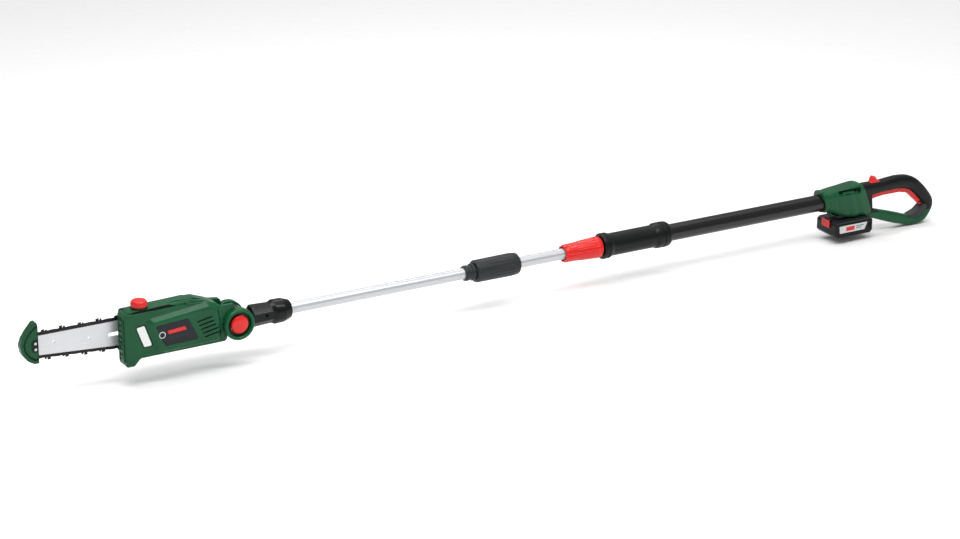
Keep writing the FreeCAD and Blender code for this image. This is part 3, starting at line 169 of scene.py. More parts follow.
def metal(name, colour, rough, stretch, scale=240, streak=0.35, depth=0.00002, metallic=1.0, stain=None):
    """Metal with drawn or ground streaks, roughness patches and an optional stain colour."""
    material, tree, base = shader(name)
    coords = tree.nodes.new("ShaderNodeTexCoord")
    lines = noise_node(tree, coords, scale, 8, 0.7, stretch=stretch)
    patch = noise_node(tree, coords, 14, 5)
    low = mixed(colour, stain or (0, 0, 0), streak)
    tint = ramp_node(tree, lines, "Fac", [(0.30, low), (0.72, colour)])
    haze = mixed(colour, stain or (0, 0, 0), streak * 0.6)
    cloud = ramp_node(tree, patch, "Fac", [(0.35, haze), (0.7, colour)])
    both = tree.nodes.new("ShaderNodeMix")
    both.data_type = "RGBA"
    both.inputs["Factor"].default_value = 0.45
    link(tree, tint, "Color", both, "A")
    link(tree, cloud, "Color", both, "B")
    link(tree, both, "Result", base, "Base Color")
    spans = span_node(tree, lines, "Fac", rough * 0.7, min(1.0, rough * 1.35))
    link(tree, spans, "Result", base, "Roughness")
    bump = bump_node(tree, lines, "Fac", 0.35, depth)
    link(tree, bump, "Normal", base, "Normal")
    base.inputs["Metallic"].default_value = metallic
    return material


# one material per look, and the record's material slot for each
M = {
    "green": moulded("green_moulding", (0.0055, 0.078, 0.028), 0.30, sheen=0.22),
    # dark green that stands for the shade in recesses, wells, grooves and seats: painted shade
    "green_shaded": moulded("green_painted_shade", (0.0015, 0.022, 0.008), 0.45),
    "red": moulded("red_moulding", (0.66, 0.011, 0.009), 0.24, spread=0.1, sheen=0.4),
    "black": moulded("black_moulding", (0.0035, 0.004, 0.0045), 0.24),
    "soft": moulded("soft_touch", (0.005, 0.0055, 0.006), 0.32, grain=1500, depth=0.00008),
    "grey": moulded("grey_moulding", (0.022, 0.025, 0.027), 0.34),
    "heel": moulded("heel_moulding", (0.035, 0.038, 0.040), 0.4),
    "shadow": moulded("shadow_gap", (0.003, 0.003, 0.004), 0.8),
    "white": moulded("tank_moulding", (0.80, 0.82, 0.80), 0.3, scuff=0.1, spread=0.05),
    "badge": moulded("badge_plate", (0.008, 0.010, 0.014), 0.3, coat=0.1),
    "label": moulded("label_foil", (0.62, 0.63, 0.64), 0.35, scuff=0.2, spread=0.08),
    "ink": moulded("dark_ink", (0.02, 0.02, 0.022), 0.5),
    "wrap": moulded("cell_sleeve", (0.05, 0.20, 0.42), 0.3),
    "board": moulded("board_mask", (0.01, 0.12, 0.05), 0.35),
    "tube": metal("anodised_tube", (0.56, 0.57, 0.59), 0.34, (0.06, 1, 1), scale=160, streak=0.1,
                  metallic=0.5),
    "dark_tube": metal("black_tube", (0.0025, 0.0028, 0.003), 0.24, (1, 1, 1), scale=900, streak=0.5,
                       depth=0.00003, metallic=0.0),
    "bar": metal("bar_steel", (0.66, 0.67, 0.69), 0.32, (0.05, 1, 1), scale=420, streak=0.16, metallic=0.6),
    "chain": metal("chain_steel", (0.035, 0.034, 0.033), 0.38, (1, 1, 1), scale=260, streak=0.45,
                   stain=(0.02, 0.012, 0.008)),
    "zinc": metal("zinc_steel", (0.58, 0.59, 0.60), 0.28, (1, 1, 1), scale=500, streak=0.3),
    "steel": metal("machined_steel", (0.45, 0.45, 0.46), 0.3, (1, 0.1, 1), scale=320, streak=0.3),
    "brass": metal("contact_brass", (0.78, 0.55, 0.20), 0.3, (1, 1, 1), scale=500, streak=0.25),
}


# ------------------------------------------------------------------ mesh helpers
def point(x, y, h):
    """Row-frame point from mm, height measured from the pole axis."""
    return Vector((x * MM, y * MM, h * MM + AXIS))


def finish_piece(name, mesh, look, body, stands_for=(), angle=SHARP_DEG):
    """Object from a mesh, shaded smooth up to the angle, riding on a body and standing for CAD nodes."""
    mesh.materials.append(M[look])
    for face in mesh.polygons:
        face.use_smooth = True
    mesh.set_sharp_from_angle(angle=math.radians(angle))
    piece = bpy.data.objects.new(name, mesh)
    bpy.context.scene.collection.objects.link(piece)
    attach(piece, body)
    if stands_for:
        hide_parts(*stands_for)
    return piece


def rounded(points, steps=6):
    """Outline with each corner (x, h, radius) turned into an arc."""
    done = []
    count = len(points)
    for i in range(count):
        here = Vector(points[i][:2])
        radius = points[i][2] if len(points[i]) > 2 else 0
        before = Vector(points[i - 1][:2]) - here
        after = Vector(points[(i + 1) % count][:2]) - here
        if radius <= 0:
            done.append(here)
            continue
        angle = before.angle(after)
        reach = radius / math.tan(angle / 2)
        reach = min(reach, before.length * 0.49, after.length * 0.49)
        radius = reach * math.tan(angle / 2)
        start = here + before.normalized() * reach
        end = here + after.normalized() * reach
        inward = (before.normalized() + after.normalized()).normalized()
        middle = here + inward * (radius / math.sin(angle / 2))
        turn = (start - middle).angle_signed(end - middle)
        for step in range(steps + 1):
            arm = (start - middle).copy()
            arm.rotate(Matrix.Rotation(-turn * step / steps, 2))
            done.append(middle + arm)
    return done


def as_mesh(build, name):
    """Finish a bmesh into a mesh with its normals outward."""
    bmesh.ops.recalc_face_normals(build, faces=build.faces)
    mesh = bpy.data.meshes.new(name)
    build.to_mesh(mesh)
    build.free()
    return mesh


def walls(build, lower, upper):
    """Caps on two matching outline rings and the walls between them."""
    build.faces.new(lower)
    build.faces.new(list(reversed(upper)))
    for i in range(len(lower)):
        after = (i + 1) % len(lower)
        build.faces.new((lower[i], upper[i], upper[after], lower[after]))


def join_rings(build, pairs):
    """Skin of four-sided faces between each pair of rings."""
    for first, second in pairs:
        for i in range(len(first)):
            after = (i + 1) % len(first)
            build.faces.new((first[i], first[after], second[after], second[i]))


def soften(piece, width, segments=4):
    """Bevel on the edges that carry a bevel weight; width in mm."""
    bevel = piece.modifiers.new("rim", "BEVEL")
    bevel.limit_method = "WEIGHT"
    bevel.width = width * MM
    bevel.segments = segments
    bevel.use_clamp_overlap = True


def even_shade(piece):
    shade = piece.modifiers.new("shade", "WEIGHTED_NORMAL")
    shade.keep_sharp = True


def prism(build, outline, low, high, steps=6):
    """XZ outline carried from one Y station to another; returns its two rings."""
    corners = rounded(outline, steps)
    rings = [[build.verts.new(point(c.x, y, c.y)) for c in corners] for y in (low, high)]
    walls(build, *rings)
    return rings


def slab(name, outline, low, high, look, body, stands_for=(), rim=(1.0, 1.0)):
    """Prism of an XZ outline between two Y stations, with its own rim rounding at each side."""
    build = bmesh.new()
    rings = prism(build, outline, low, high)
    weights = build.edges.layers.float.new("bevel_weight_edge")
    widest = max(max(rim), LEAST_RIM)
    for ring, width in zip(rings, rim):
        for i, corner in enumerate(ring):
            edge = build.edges.get((corner, ring[(i + 1) % len(ring)]))
            edge[weights] = width / widest
    piece = finish_piece(name, as_mesh(build, name), look, body, stands_for)
    if widest > LEAST_RIM:
        soften(piece, widest)
    even_shade(piece)
    return piece


def cutter_slab(outline, low, high):
    """Mesh of a prism that carves a recess."""
    build = bmesh.new()
    prism(build, outline, low, high, steps=3)
    return as_mesh(build, "cutter")


CUTTERS = []


def carve(piece, cutter):
    """Take a cutter mesh out of a piece; settle_cutters bakes the result."""
    tool = bpy.data.objects.new("cutter", cutter)
    bpy.context.scene.collection.objects.link(tool)
    tool.hide_render = True
    tool.hide_viewport = True
    CUTTERS.append(tool)
    cut = piece.modifiers.new("recess", "BOOLEAN")
    cut.operation = "DIFFERENCE"
    cut.solver = "EXACT"
    cut.object = tool


def settle_cutters():
    """Bake every recess into its mesh and drop the tools."""
    bpy.context.view_layer.update()
    graph = bpy.context.evaluated_depsgraph_get()
    for piece in [o for o in bpy.data.objects if any(m.type == "BOOLEAN" for m in o.modifiers)]:
        baked = bpy.data.meshes.new_from_object(piece.evaluated_get(graph))
        piece.modifiers.clear()
        piece.data = baked
        baked.set_sharp_from_angle(angle=math.radians(SHARP_DEG))
        even_shade(piece)
    for tool in CUTTERS:
        bpy.data.objects.remove(tool)


def lathe(name, axis, centre, profile, look, body, stands_for=(), steps=64, ripple=None, angle=SHARP_DEG):
    """Turned piece: profile of (station, radius, rounding) about a line along X, Y or Z through centre.

    ripple(station, turn) gives an amount to add to the radius, for flutes and lobes.
    """
    cx, cy, ch = centre
    build = bmesh.new()
    rings = []
    for corner in rounded(profile, 5):
        ring = []
        for i in range(steps):
            turn = 2 * math.pi * i / steps
            radius = corner.y + (ripple(corner.x, turn) if ripple and corner.y > 0.01 else 0)
            a = radius * math.cos(turn)
            b = radius * math.sin(turn)
            if axis == "X":
                place = point(corner.x, cy + a, ch + b)
            elif axis == "Y":
                place = point(cx + a, corner.x, ch + b)
            else:
                place = point(cx + a, cy + b, corner.x)
            ring.append(build.verts.new(place))
        rings.append(ring)
    join_rings(build, zip(rings, rings[1:] + rings[:1]))
    bmesh.ops.remove_doubles(build, verts=build.verts, dist=1e-7)
    return finish_piece(name, as_mesh(build, name), look, body, stands_for, angle)


def catmull(knots, per=8):
    """Smooth chain of tuples through the knots."""
    done = []
    last = len(knots) - 1
    for i in range(last):
        four = [Vector(knots[max(0, min(last, i + k))]) for k in (-1, 0, 1, 2)]
        a = 2 * four[1]
        b = four[2] - four[0]
        c = 2 * four[0] - 5 * four[1] + 4 * four[2] - four[3]
        d = 3 * four[1] - four[0] - 3 * four[2] + four[3]
        for step in range(per):
            t = step / per
            done.append((a + b * t + c * t * t + d * t * t * t) * 0.5)
    done.append(Vector(knots[-1]))
    return done


def power(value, amount):
    return math.copysign(abs(value) ** amount, value)


def tube_skin(name, rings, build, look, body, stands_for, angle):
    """Close a row of rings at both ends and finish it as a piece."""
    join_rings(build, zip(rings, rings[1:]))
    build.faces.new(rings[0])
    build.faces.new(list(reversed(rings[-1])))
    return finish_piece(name, as_mesh(build, name), look, body, stands_for, angle)


def sweep(name, knots, look, body, stands_for=(), steps=40, per=8, seam=0.0):
    """Grip swept along a line in the XZ plane; a knot is (x, h, half thickness, half width, squareness)."""
    spine = catmull(knots, per)
    build = bmesh.new()
    rings = []
    for i, (x, h, thick, wide, square) in enumerate(spine):
        before = spine[max(0, i - 1)]
        after = spine[min(len(spine) - 1, i + 1)]
        way = Vector((after[0] - before[0], after[1] - before[1])).normalized()
        across = Vector((-way.y, way.x))
        ring = []
        for k in range(steps):
            turn = 2 * math.pi * k / steps
            up = power(math.sin(turn), 2 / square) * thick
            out = power(math.cos(turn), 2 / square) * wide
            if seam and abs(out) < 0.9:
                up -= math.copysign(seam, up)
            ring.append(build.verts.new(point(x + across.x * up, out, h + across.y * up)))
        rings.append(ring)
    return tube_skin(name, rings, build, look, body, stands_for, 40)


def loft(name, stations, look, body, stands_for=(), steps=72, per=5, shape=None, lean=None):
    """Housing along X; a station is (x, top, bottom, half width, squareness).

    shape(x, y, h) moves a skin point; lean(x, h) gives a shift along X.
    """
    build = bmesh.new()
    rings = []
    for x, top, bottom, half, square in catmull(stations, per):
        middle = (top + bottom) / 2
        tall = (top - bottom) / 2
        ring = []
        for k in range(steps):
            turn = 2 * math.pi * (k + 0.5) / steps
            y = power(math.cos(turn), 2 / square) * half
            h = middle + power(math.sin(turn), 2 / square) * tall
            px = x + (lean(x, h) if lean else 0)
            if shape:
                y, h = shape(px, y, h)
            ring.append(build.verts.new(point(px, y, h)))
        rings.append(ring)
    return tube_skin(name, rings, build, look, body, stands_for, 30)


def frustum(name, base, top, low, high, look, body, stands_for=(), soft=2.0):
    """Raised boss: base outline at the low Y station, smaller top outline at the high one."""
    build = bmesh.new()
    foot = [build.verts.new(point(c.x, low, c.y)) for c in rounded(base, 5)]
    crown = [build.verts.new(point(c.x, high, c.y)) for c in rounded(top, 5)]
    walls(build, foot, crown)
    weights = build.edges.layers.float.new("bevel_weight_edge")
    for i, corner in enumerate(crown):
        edge = build.edges.get((corner, crown[(i + 1) % len(crown)]))
        edge[weights] = 1.0
    piece = finish_piece(name, as_mesh(build, name), look, body, stands_for)
    soften(piece, soft)
    even_shade(piece)
    return piece


def smooth_step(value, low, high):
    t = max(0.0, min(1.0, (value - low) / (high - low)))
    return t * t * (3 - 2 * t)


def bell(value, middle, width):
    return math.exp(-((value - middle) / width) ** 2)


# ------------------------------------------------------------------ saw head
P = PIVOT_X                     # short names: the outlines below are written from these two stations
H = HEAD_X


def make_head():
    flank = [
        (H - 5, -48, 4), (H + 12, -48, 5), (H + 26, -34, 6), (P - 24, -33, 8), (P - 22, -10, 2),
        (P - 10, 6, 4), (P - 2, 20, 4), (P - 7, 44, 5), (P - 37, 44, 3), (P - 46, 51, 5), (P - 68, 58, 8),
        (P - 96, 61, 12), (P - 160, 60, 20), (H + 5, 60.5, 3), (H - 5, 57, 2),
    ]
    slab("head_flank_near", flank, -24, -18, "green", "saw_head", ("head_housing_left",), rim=(2.5, 0))
    core = [
        (H - 5, -48, 4), (H + 12, -48, 5), (H + 26, -34, 6), (P - 36, -33, 4), (P - 36, 43.5, 4),
        (P - 46, 50.5, 5), (P - 68, 60, 8), (P - 96, 66, 12), (P - 126, 66, 12), (H + 8, 64, 5),
        (H - 4, 56, 4),
    ]
    slab("head_core", core, -18, 8, "green", "saw_head", ("head_housing_right",), rim=(0, 0.5))
    deck = [
        (H + 7, 52, 2), (P - 52, 44, 2), (P - 46, 51, 6), (P - 68, 59, 14), (P - 96, 64.6, 20),
        (P - 128, 65.6, 20), (H + 36, 65.2, 12), (H + 12, 65, 6), (H + 6, 62, 3),
    ]
    slab("head_deck", deck, -20.5, 12, "green", "saw_head", rim=(4, 5))
    ridge = [
        (H + 58, 60, 1), (P - 50, 46, 1), (P - 52, 54, 9), (P - 86, 66.6, 24), (P - 124, 67.6, 20),
        (H + 62, 64.6, 6),
    ]
    slab("head_ridge", ridge, -9, 14, "green", "saw_head", rim=(6, 6))
    # near-black sheet in the shadow look under the deck edge: painted shadow of the gap between flank and
    # deck
    gap = [(H + 9, 61), (H + 13, 64.2), (H + 92, 66), (H + 104, 62)]
    slab("deck_gap", gap, -21.5, -18, "shadow", "saw_head", rim=(0.2, 0))
    lip = [
        (H - 5.5, -47, 3), (H + 2, -47, 2), (H + 2, 60, 2), (H - 2, 62, 4), (H - 6, 55, 4),
    ]
    slab("front_bumper", lip, -23.6, 12.4, "green", "saw_head", rim=(1.6, 1.6))
    # the channel floor takes the darker green: painted shade in the recess
    channel = [(H - 6.4, -34, 1), (H - 4, -34, 0), (H - 4, 50, 0), (H - 6.4, 50, 1)]
    slab("bumper_channel", channel, -12, 0, "green_shaded", "saw_head", rim=(0.4, 0.4))
    for n in range(7):
        low = -32 + 12 * n
        rib = [(H - 8, low, 1), (H - 4, low, 0), (H - 4, low + 6, 0), (H - 8, low + 6, 1)]
        slab(f"bumper_rib_{n}", rib, -12, 0, "green", "saw_head", rim=(1, 1))
    for n, y in enumerate((-16.5, 4.5)):
        rail = [(H - 8.4, -38, 1.5), (H - 4, -40, 0), (H - 4, 52, 0), (H - 8.4, 50, 1.5)]
        slab(f"bumper_rail_{n}", rail, y - 1.6, y + 1.6, "green", "saw_head", rim=(1.2, 1.2))
    for n, (x, h) in enumerate(((H + 8, -39), (P - 40, -24), (P - 40, 36), (P - 108, 63))):
        plug = [(-24.5, 0, 0), (-24.5, 3.2, 0.5), (-22, 3.7, 0.3), (-22, 0, 0)]
        lathe(f"screw_plug_{n}", "Y", (x, 0, h), plug, "green", "saw_head", steps=32)


def make_hump():
    base = [
        (H + 36, 46, 9), (P - 66, 60, 16), (P - 42, 50, 14), (P - 37, 20, 10), (P - 37, -30, 8),
        (H + 66, -32, 9), (H + 55, -22, 9),
    ]
    top = [
        (H + 50, 37, 5), (P - 66, 48.5, 10), (P - 50, 42, 10), (P - 45, 16, 8), (P - 45, -22, 6),
        (H + 74, -24, 6), (H + 66, -16, 6),
    ]
    hump = frustum("motor_hump", base, top, -22.5, -33, "green", "saw_head", soft=2.6)
    for slot in range(5):
        high = 26 - 8.6 * slot
        left = P - 92 + 3.8 * slot
        cut = [(left, high - 1.6, 1), (left + 33, high + 4.4, 1), (left + 33.6, high + 1.4, 1),
               (left + 0.6, high - 4.6, 1)]
        carve(hump, cutter_slab(cut, -34, -29.5))
    frame_cut = [(H + 54, 31.5, 4), (H + 126, 35.5, 4), (H + 148, -12.5, 4), (H + 73, -14.5, 4)]
    carve(hump, cutter_slab(frame_cut, -34, -32.2))
    vents = [(P - 96, 34, 2), (P - 52, 38, 2), (P - 38, -12, 2), (P - 72, -18, 2)]
    slab("vent_shadow", vents, -29.7, -29, "shadow", "saw_head", rim=(0, 0))
    plate = [(H + 55.5, 30.3, 3), (H + 125, 34.2, 3), (H + 146, -11.5, 3), (H + 74, -13.4, 3)]
    slab("side_plate", plate, -32.9, -31.8, "badge", "saw_head", ("side_badge",), rim=(0.4, 0))
    bar = [(H + 80, 17, 1), (H + 118, 20, 1), (H + 121, 12.5, 1), (H + 83, 9.5, 1)]
    slab("plate_stripe", bar, -33.02, -32.7, "red", "saw_head", rim=(0.1, 0))
    for n in range(2):
        low = 4 - 4 * n
        line = [(H + 85, low, 0.4), (H + 126, low + 3.2, 0.4), (H + 126.8, low + 1.6, 0.4),
                (H + 85.8, low - 1.6, 0.4)]
        slab(f"plate_line_{n}", line, -33.0, -32.7, "grey", "saw_head", rim=(0.05, 0))
    ring = [(-33.02, 5.4, 0.1), (-33.02, 7, 0.1), (-32.7, 7, 0), (-32.7, 5.4, 0)]
    lathe("plate_ring", "Y", (H + 69, 0, 10), ring, "label", "saw_head", steps=40)
    tank = [(H + 18, 31, 2.5), (H + 35, 33.4, 2.5), (H + 50, -10.5, 2.5), (H + 33, -10.8, 2.5)]
    slab("tank_window", tank, -24.9, -20, "white", "saw_head", ("oil_window",), rim=(0.9, 0))
    # the seat around the window takes the darker green: painted shade in the recess
    seat = [(H + 15.5, 33.6, 4), (H + 37.5, 36.4, 4), (H + 53.5, -13.2, 4), (H + 30.6, -13.4, 4)]
    slab("tank_rim", seat, -24.35, -20, "green_shaded", "saw_head", rim=(0.3, 0))


def make_cover():
    side = [
        (H + 3, -40, 5), (P - 64, -30, 10), (P - 64, 44, 6), (P - 96, 62, 12), (H + 3, 58, 5),
    ]
    slab("cover_skin", side, 23.5, 33, "black", "saw_head", ("sprocket_cover",), rim=(0, 6))
    back = [(H + 128, -34, 2), (P - 64, -30, 10), (P - 64, 44, 6), (P - 100, 60, 10), (H + 128, 62, 2)]
    slab("cover_back", back, 8.2, 24, "black", "saw_head", rim=(0, 0))
    top = [(H + 3, 57, 0.5), (H + 128, 57, 0.5), (H + 128, 62.5, 2), (H + 3, 58.5, 1)]
    slab("cover_top", top, 8.2, 24, "black", "saw_head", rim=(0, 0))
    low = [(H + 3, -40, 2), (H + 128, -34.5, 0.5), (H + 128, -31, 0.5), (H + 3, -31, 0.5)]
    slab("cover_floor", low, 8.2, 24, "black", "saw_head", rim=(0, 0))
    for n in range(6):
        rise = -22 + 12 * n
        rib = [(H + 100, rise, 1), (P - 72, rise, 1), (P - 72, rise + 3, 1), (H + 100, rise + 3, 1)]
        slab(f"cover_rib_{n}", rib, 32, 33.9, "black", "saw_head", rim=(0, 0.8))
    rear = [
        (P - 60, -32, 5), (P - 36, -32, 2), (P - 36, 43.5, 2), (P - 38, 44.5, 1), (P - 60, 51, 6),
    ]
    slab("head_rear_far", rear, 8.2, 18.3, "green", "saw_head", rim=(0, 0))
    rear_out = [
        (P - 61, -32, 5), (P - 20, -32, 4), (P - 12, 8, 3), (P - 18, 42, 4), (P - 38, 44.5, 4),
        (P - 61, 51, 6),
    ]
    slab("head_flank_far", rear_out, 18.3, 33, "green", "saw_head", rim=(0, 6))


def make_cap():
    low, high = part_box("oil_cap")
    x = (low.x + high.x) / 2 / MM
    y = (low.y + high.y) / 2 / MM
    base = (low.z - AXIS) / MM - 1
    cap = [
        (base, 0, 0), (base, 15.4, 0.8), (base + 1.4, 16.9, 0.8), (base + 9.5, 16.7, 2.4),
        (base + 12.6, 13.8, 1.5), (base + 12.9, 0, 0),
    ]

    def edge(station, turn):
        rise = smooth_step(station, base + 1, base + 2.4)
        fade = rise * (1 - smooth_step(station, base + 9, base + 11.5))
        return -0.9 * fade * abs(math.sin(12 * turn)) ** 3
    lathe("filler_cap_skin", "Z", (x, y, 0), cap, "red", "filler_cap", ("oil_cap",), steps=192, ripple=edge)
    tab = [
        (x - 9, base + 11, 1), (x + 9, base + 11, 1), (x + 8, base + 13.4, 1.4), (x - 8, base + 13.4, 1.4),
    ]
    slab("filler_cap_grip", tab, y - 2.2, y + 2.2, "red", "filler_cap", rim=(1.4, 1.4))
    # the collar under the cap takes the darker green: painted shade under the cap
    lathe("filler_collar", "Z", (x, y, 0),
          [(base - 4, 10, 0), (base - 4, 17.4, 0.6), (base - 0.3, 16.6, 0.8), (base - 0.3, 10, 0)],
          "green_shaded", "saw_head")


def make_tilt():
    ring = [
        (-28, 25.2, 0.3), (-34.6, 25.6, 0.9), (-36.4, 27.4, 1.2), (-36.4, 30.8, 1.6), (-33, 33, 1.6),
        (-18.2, 33, 0.8), (-18.2, 25.2, 0.4),
    ]
    lathe("ear_near", "Y", (P, 0, 0), ring, "green", "saw_head", steps=96)
    # the well takes the darker green: painted shade in the recess
    well = [(-29, 19.6, 0.2), (-29, 25.6, 0.2), (-24, 25.6, 0.2), (-24, 19.6, 0.2)]
    lathe("ear_well", "Y", (P, 0, 0), well, "green_shaded", "saw_head", steps=96)
    far = [(34, 0, 0), (34, 28, 1), (33, 33, 2), (18.2, 33, 0.8), (18.2, 0, 0)]
    lathe("ear_far", "Y", (P, 0, 0), far, "green", "saw_head", steps=96)
    button = [
        (-37.3, 0, 0), (-37, 11, 6), (-35.6, 17.2, 2.5), (-32.6, 19, 1.5), (-30.4, 19, 0.4), (-30.4, 0, 0),
    ]
    lathe("tilt_button_skin", "Y", (P, 0, 0), button, "red", "tilt_push", ("tilt_button",), steps=96)


def make_socket():
    """Knuckle disc, faceted arm and clamp end in one black casting look."""
    disc = [(-17.6, 0, 0), (-17.6, 29.5, 1.5), (17.6, 29.5, 1.5), (17.6, 0, 0)]
    lathe("knuckle_disc", "Y", (P, 0, 0), disc, "black", "sliding_pole", ("tilt_socket",), steps=96)
    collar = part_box("tilt_socket")
    end = collar[1][0] / MM - 8

    def facets(station, turn):
        fade = 1 - smooth_step(station, end - 46, end - 36)
        wedge = (turn + math.pi / 8) % (math.pi / 4) - math.pi / 8
        flat = math.cos(math.pi / 8) / math.cos(wedge) - 1
        return 20.6 * flat * fade
    arm = [
        (P + 22, 0, 0), (P + 22, 15.6, 1), (P + 35, 16, 1), (P + 37, 22.2, 2), (P + 40, 23.2, 2),
        (P + 80, 21.6, 4), (P + 88, 25.4, 5), (P + 108, 24.8, 8), (end - 2, 19.4, 3), (end, 15.4, 1.5),
        (end, 12.05, 0.3),
        (end - 6, 12.05, 0), (end - 6, 0, 0),
    ]
    lathe("socket_arm", "X", (0, 0, 0), arm, "black", "sliding_pole", steps=128, ripple=facets, angle=16)


make_head()
make_hump()
make_cover()
make_cap()
make_tilt()
make_socket()


# ------------------------------------------------------------------ bar and guard
def make_guard():
    T = TIP_X
    y = 15.25
    outline = [
        (T + 0.3, 26, 14), (T + 4, 8, 14), (T + 15, -7, 12), (T + 28, -14.6, 6), (T + 37.6, -14.6, 1.5),
        (T + 37.6, 66, 2), (T + 35, 70.6, 2), (T + 29, 70.6, 4), (T + 14.5, 54, 16), (T + 5, 40, 14),
    ]
    low = y - 7.3
    high = y + 7.3
    slab("guard_skin", outline, low + 2.2, high, "green", "saw_head", ("nose_guard",), rim=(1.2, 2))
    inner = [
        (T + 6.4, 26, 12), (T + 9.4, 11, 12), (T + 18, -1.5, 11), (T + 29, -8.6, 4), (T + 37.4, -8.6, 0.5),
        (T + 37.4, 62, 0.5), (T + 32, 63.5, 3), (T + 19, 50, 14), (T + 10.6, 38.5, 12),
    ]
    rim_band(outline, inner, low - 0.2, low + 3, "guard_rim", "green", "saw_head")
    # the groove takes the darker green: painted shade in the groove
    groove = [(c[0] + 1.2, c[1], c[2]) for c in inner]
    slab("guard_groove", groove, low + 1.9, low + 2.6, "green_shaded", "saw_head", rim=(0.1, 0))
    face = [
        (T + 10.5, 26, 10), (T + 13, 13, 10), (T + 21, 2, 9), (T + 30, -4.6, 3), (T + 37.5, -4.6, 0.5),
        (T + 37.5, 58, 0.5), (T + 33, 58, 3), (T + 21, 47, 12), (T + 13.5, 36.5, 10),
    ]
    slab("guard_face", face, low + 0.9, low + 2.6, "green", "saw_head", rim=(0.8, 0))
    # the pocket takes the darker green: painted shade in the recess
    pocket = [(T + 24, 34, 8), (T + 37.2, 36, 0.5), (T + 37.2, 8, 0.5), (T + 24, 9, 8)]
    slab("guard_pocket", pocket, low + 0.4, low + 1.2, "green_shaded", "saw_head", rim=(0.3, 0))


def even_steps(points, count):
    """Closed outline resampled to equal steps."""
    closed = points + points[:1]
    lengths = [0.0]
    for a, b in zip(closed, closed[1:]):
        lengths.append(lengths[-1] + (b - a).length)
    done = []
    k = 0
    for i in range(count):
        want = lengths[-1] * i / count
        while lengths[k + 1] < want:
            k += 1
        share = (want - lengths[k]) / max(1e-9, lengths[k + 1] - lengths[k])
        done.append(closed[k].lerp(closed[k + 1], share))
    return done


def rim_band(outer, inner, low, high, name, look, body):
    """Raised band between two outlines that have the same number of corners."""
    outside = even_steps(rounded(outer), 160)
    inside = even_steps(rounded(inner), 160)
    build = bmesh.new()
    rings = []
    for points, y in ((outside, high), (outside, low), (inside, low), (inside, high)):
        rings.append([build.verts.new(point(c.x, y, c.y)) for c in points])
    join_rings(build, zip(rings, rings[1:] + rings[:1]))
    piece = finish_piece(name, as_mesh(build, name), look, body)
    bevel = piece.modifiers.new("rim", "BEVEL")
    bevel.width = 0.5 * MM
    bevel.segments = 3
    bevel.angle_limit = math.radians(50)


make_guard()


# ------------------------------------------------------------------ pole fittings
def make_coupling():
    x = SLEEVE_X
    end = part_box("coupling_sleeve")[1][0] / MM
    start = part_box("coupling_collar")[0][0] / MM

    def flutes(station, turn):
        fade = smooth_step(station, x + 8, x + 14) * (1 - smooth_step(station, end - 24, end - 12))
        return -1.5 * fade * max(0.0, math.cos(18 * turn)) ** 2
    sleeve = [
        (x, 16.6, 0.4), (x, 22, 1.2), (x + 3, 23.9, 1.5), (end - 20, 24.4, 8), (end - 4, 23, 5),
        (end, 18, 3), (end, 12.7, 0.4),
    ]
    lathe("coupling_sleeve_skin", "X", (0, 0, 0), sleeve, "grey", "coupling_nut", ("coupling_sleeve",),
          steps=216, ripple=flutes)
    collar = [
        (start, 12.1, 0.2), (start, 15, 1), (start + 3, 16.6, 1), (start + 9, 16.6, 0.6),
        (start + 10.5, 15.6, 0.4), (start + 16, 15.6, 0.4), (start + 17.5, 18, 0.6), (x - 3, 18, 0.6),
        (x - 1.5, 16, 0.4), (x - 0.4, 16, 0.1), (x - 0.4, 12.1, 0.1),
    ]
    lathe("coupling_collar_skin", "X", (0, 0, 0), collar, "grey", "sliding_pole", ("coupling_collar",),
          steps=96)


def make_lock():
    x = LOCK_X
    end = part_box("lock_collar")[1][0] / MM

    def lobes(station, turn):
        front = 1 - smooth_step(station, x + 10, x + 36)
        deep = -2.4 * front * max(0.0, math.cos(6 * turn)) ** 3
        back = smooth_step(station, x + 34, x + 46) * (1 - smooth_step(station, end - 16, end - 6))
        return deep - 1.3 * back * max(0.0, math.cos(12 * turn)) ** 4
    skin = [
        (x, 15.5, 0.6), (x, 18.6, 1.6), (x + 6, 19.6, 3), (x + 28, 20, 12), (x + 48, 21.6, 12),
        (end - 8, 23.4, 4), (end - 1, 22.6, 1.5), (end, 20.6, 0.4),
    ]
    lathe("lock_collar_skin", "X", (0, 0, 0), skin, "red", "lock_ring", ("lock_collar",), steps=240,
          ripple=lobes)


def make_grip():
    x = GRIP_X
    end = GRIP_END
    profile = [
        (x, 18.8, 0.2), (x, 26, 1.5), (x + 3, 28.3, 1.5), (x + 8, 28.4, 1), (x + 9.2, 26.4, 0.4),
        (x + 11, 26.4, 0.4), (x + 12.2, 28.3, 1), (x + 17, 28, 2.5), (x + 24, 24.8, 4), (end - 42, 24.8, 8),
        (end - 35, 28, 3), (end - 25, 28.4, 1.5), (end - 23.6, 26.4, 0.6), (end - 21, 26.4, 0.6),
        (end - 19.4, 28.4, 1), (end - 8, 27.8, 2), (end - 1.5, 24, 1.5), (end, 20.5, 0.6), (end, 18.8, 0.2),
    ]

    def pads(station, turn):
        fade = smooth_step(station, x + 28, x + 34) * (1 - smooth_step(station, end - 52, end - 44))
        return -0.35 * fade * (1 + math.cos(36 * turn)) / 2
    lathe("front_grip_skin", "X", (0, 0, 0), profile, "soft", "handle", ("front_grip",), steps=216,
          ripple=pads)


make_coupling()
make_lock()
make_grip()


# ------------------------------------------------------------------ rear handle
D = HANDLE_X                    # short name for the front of the rear housing


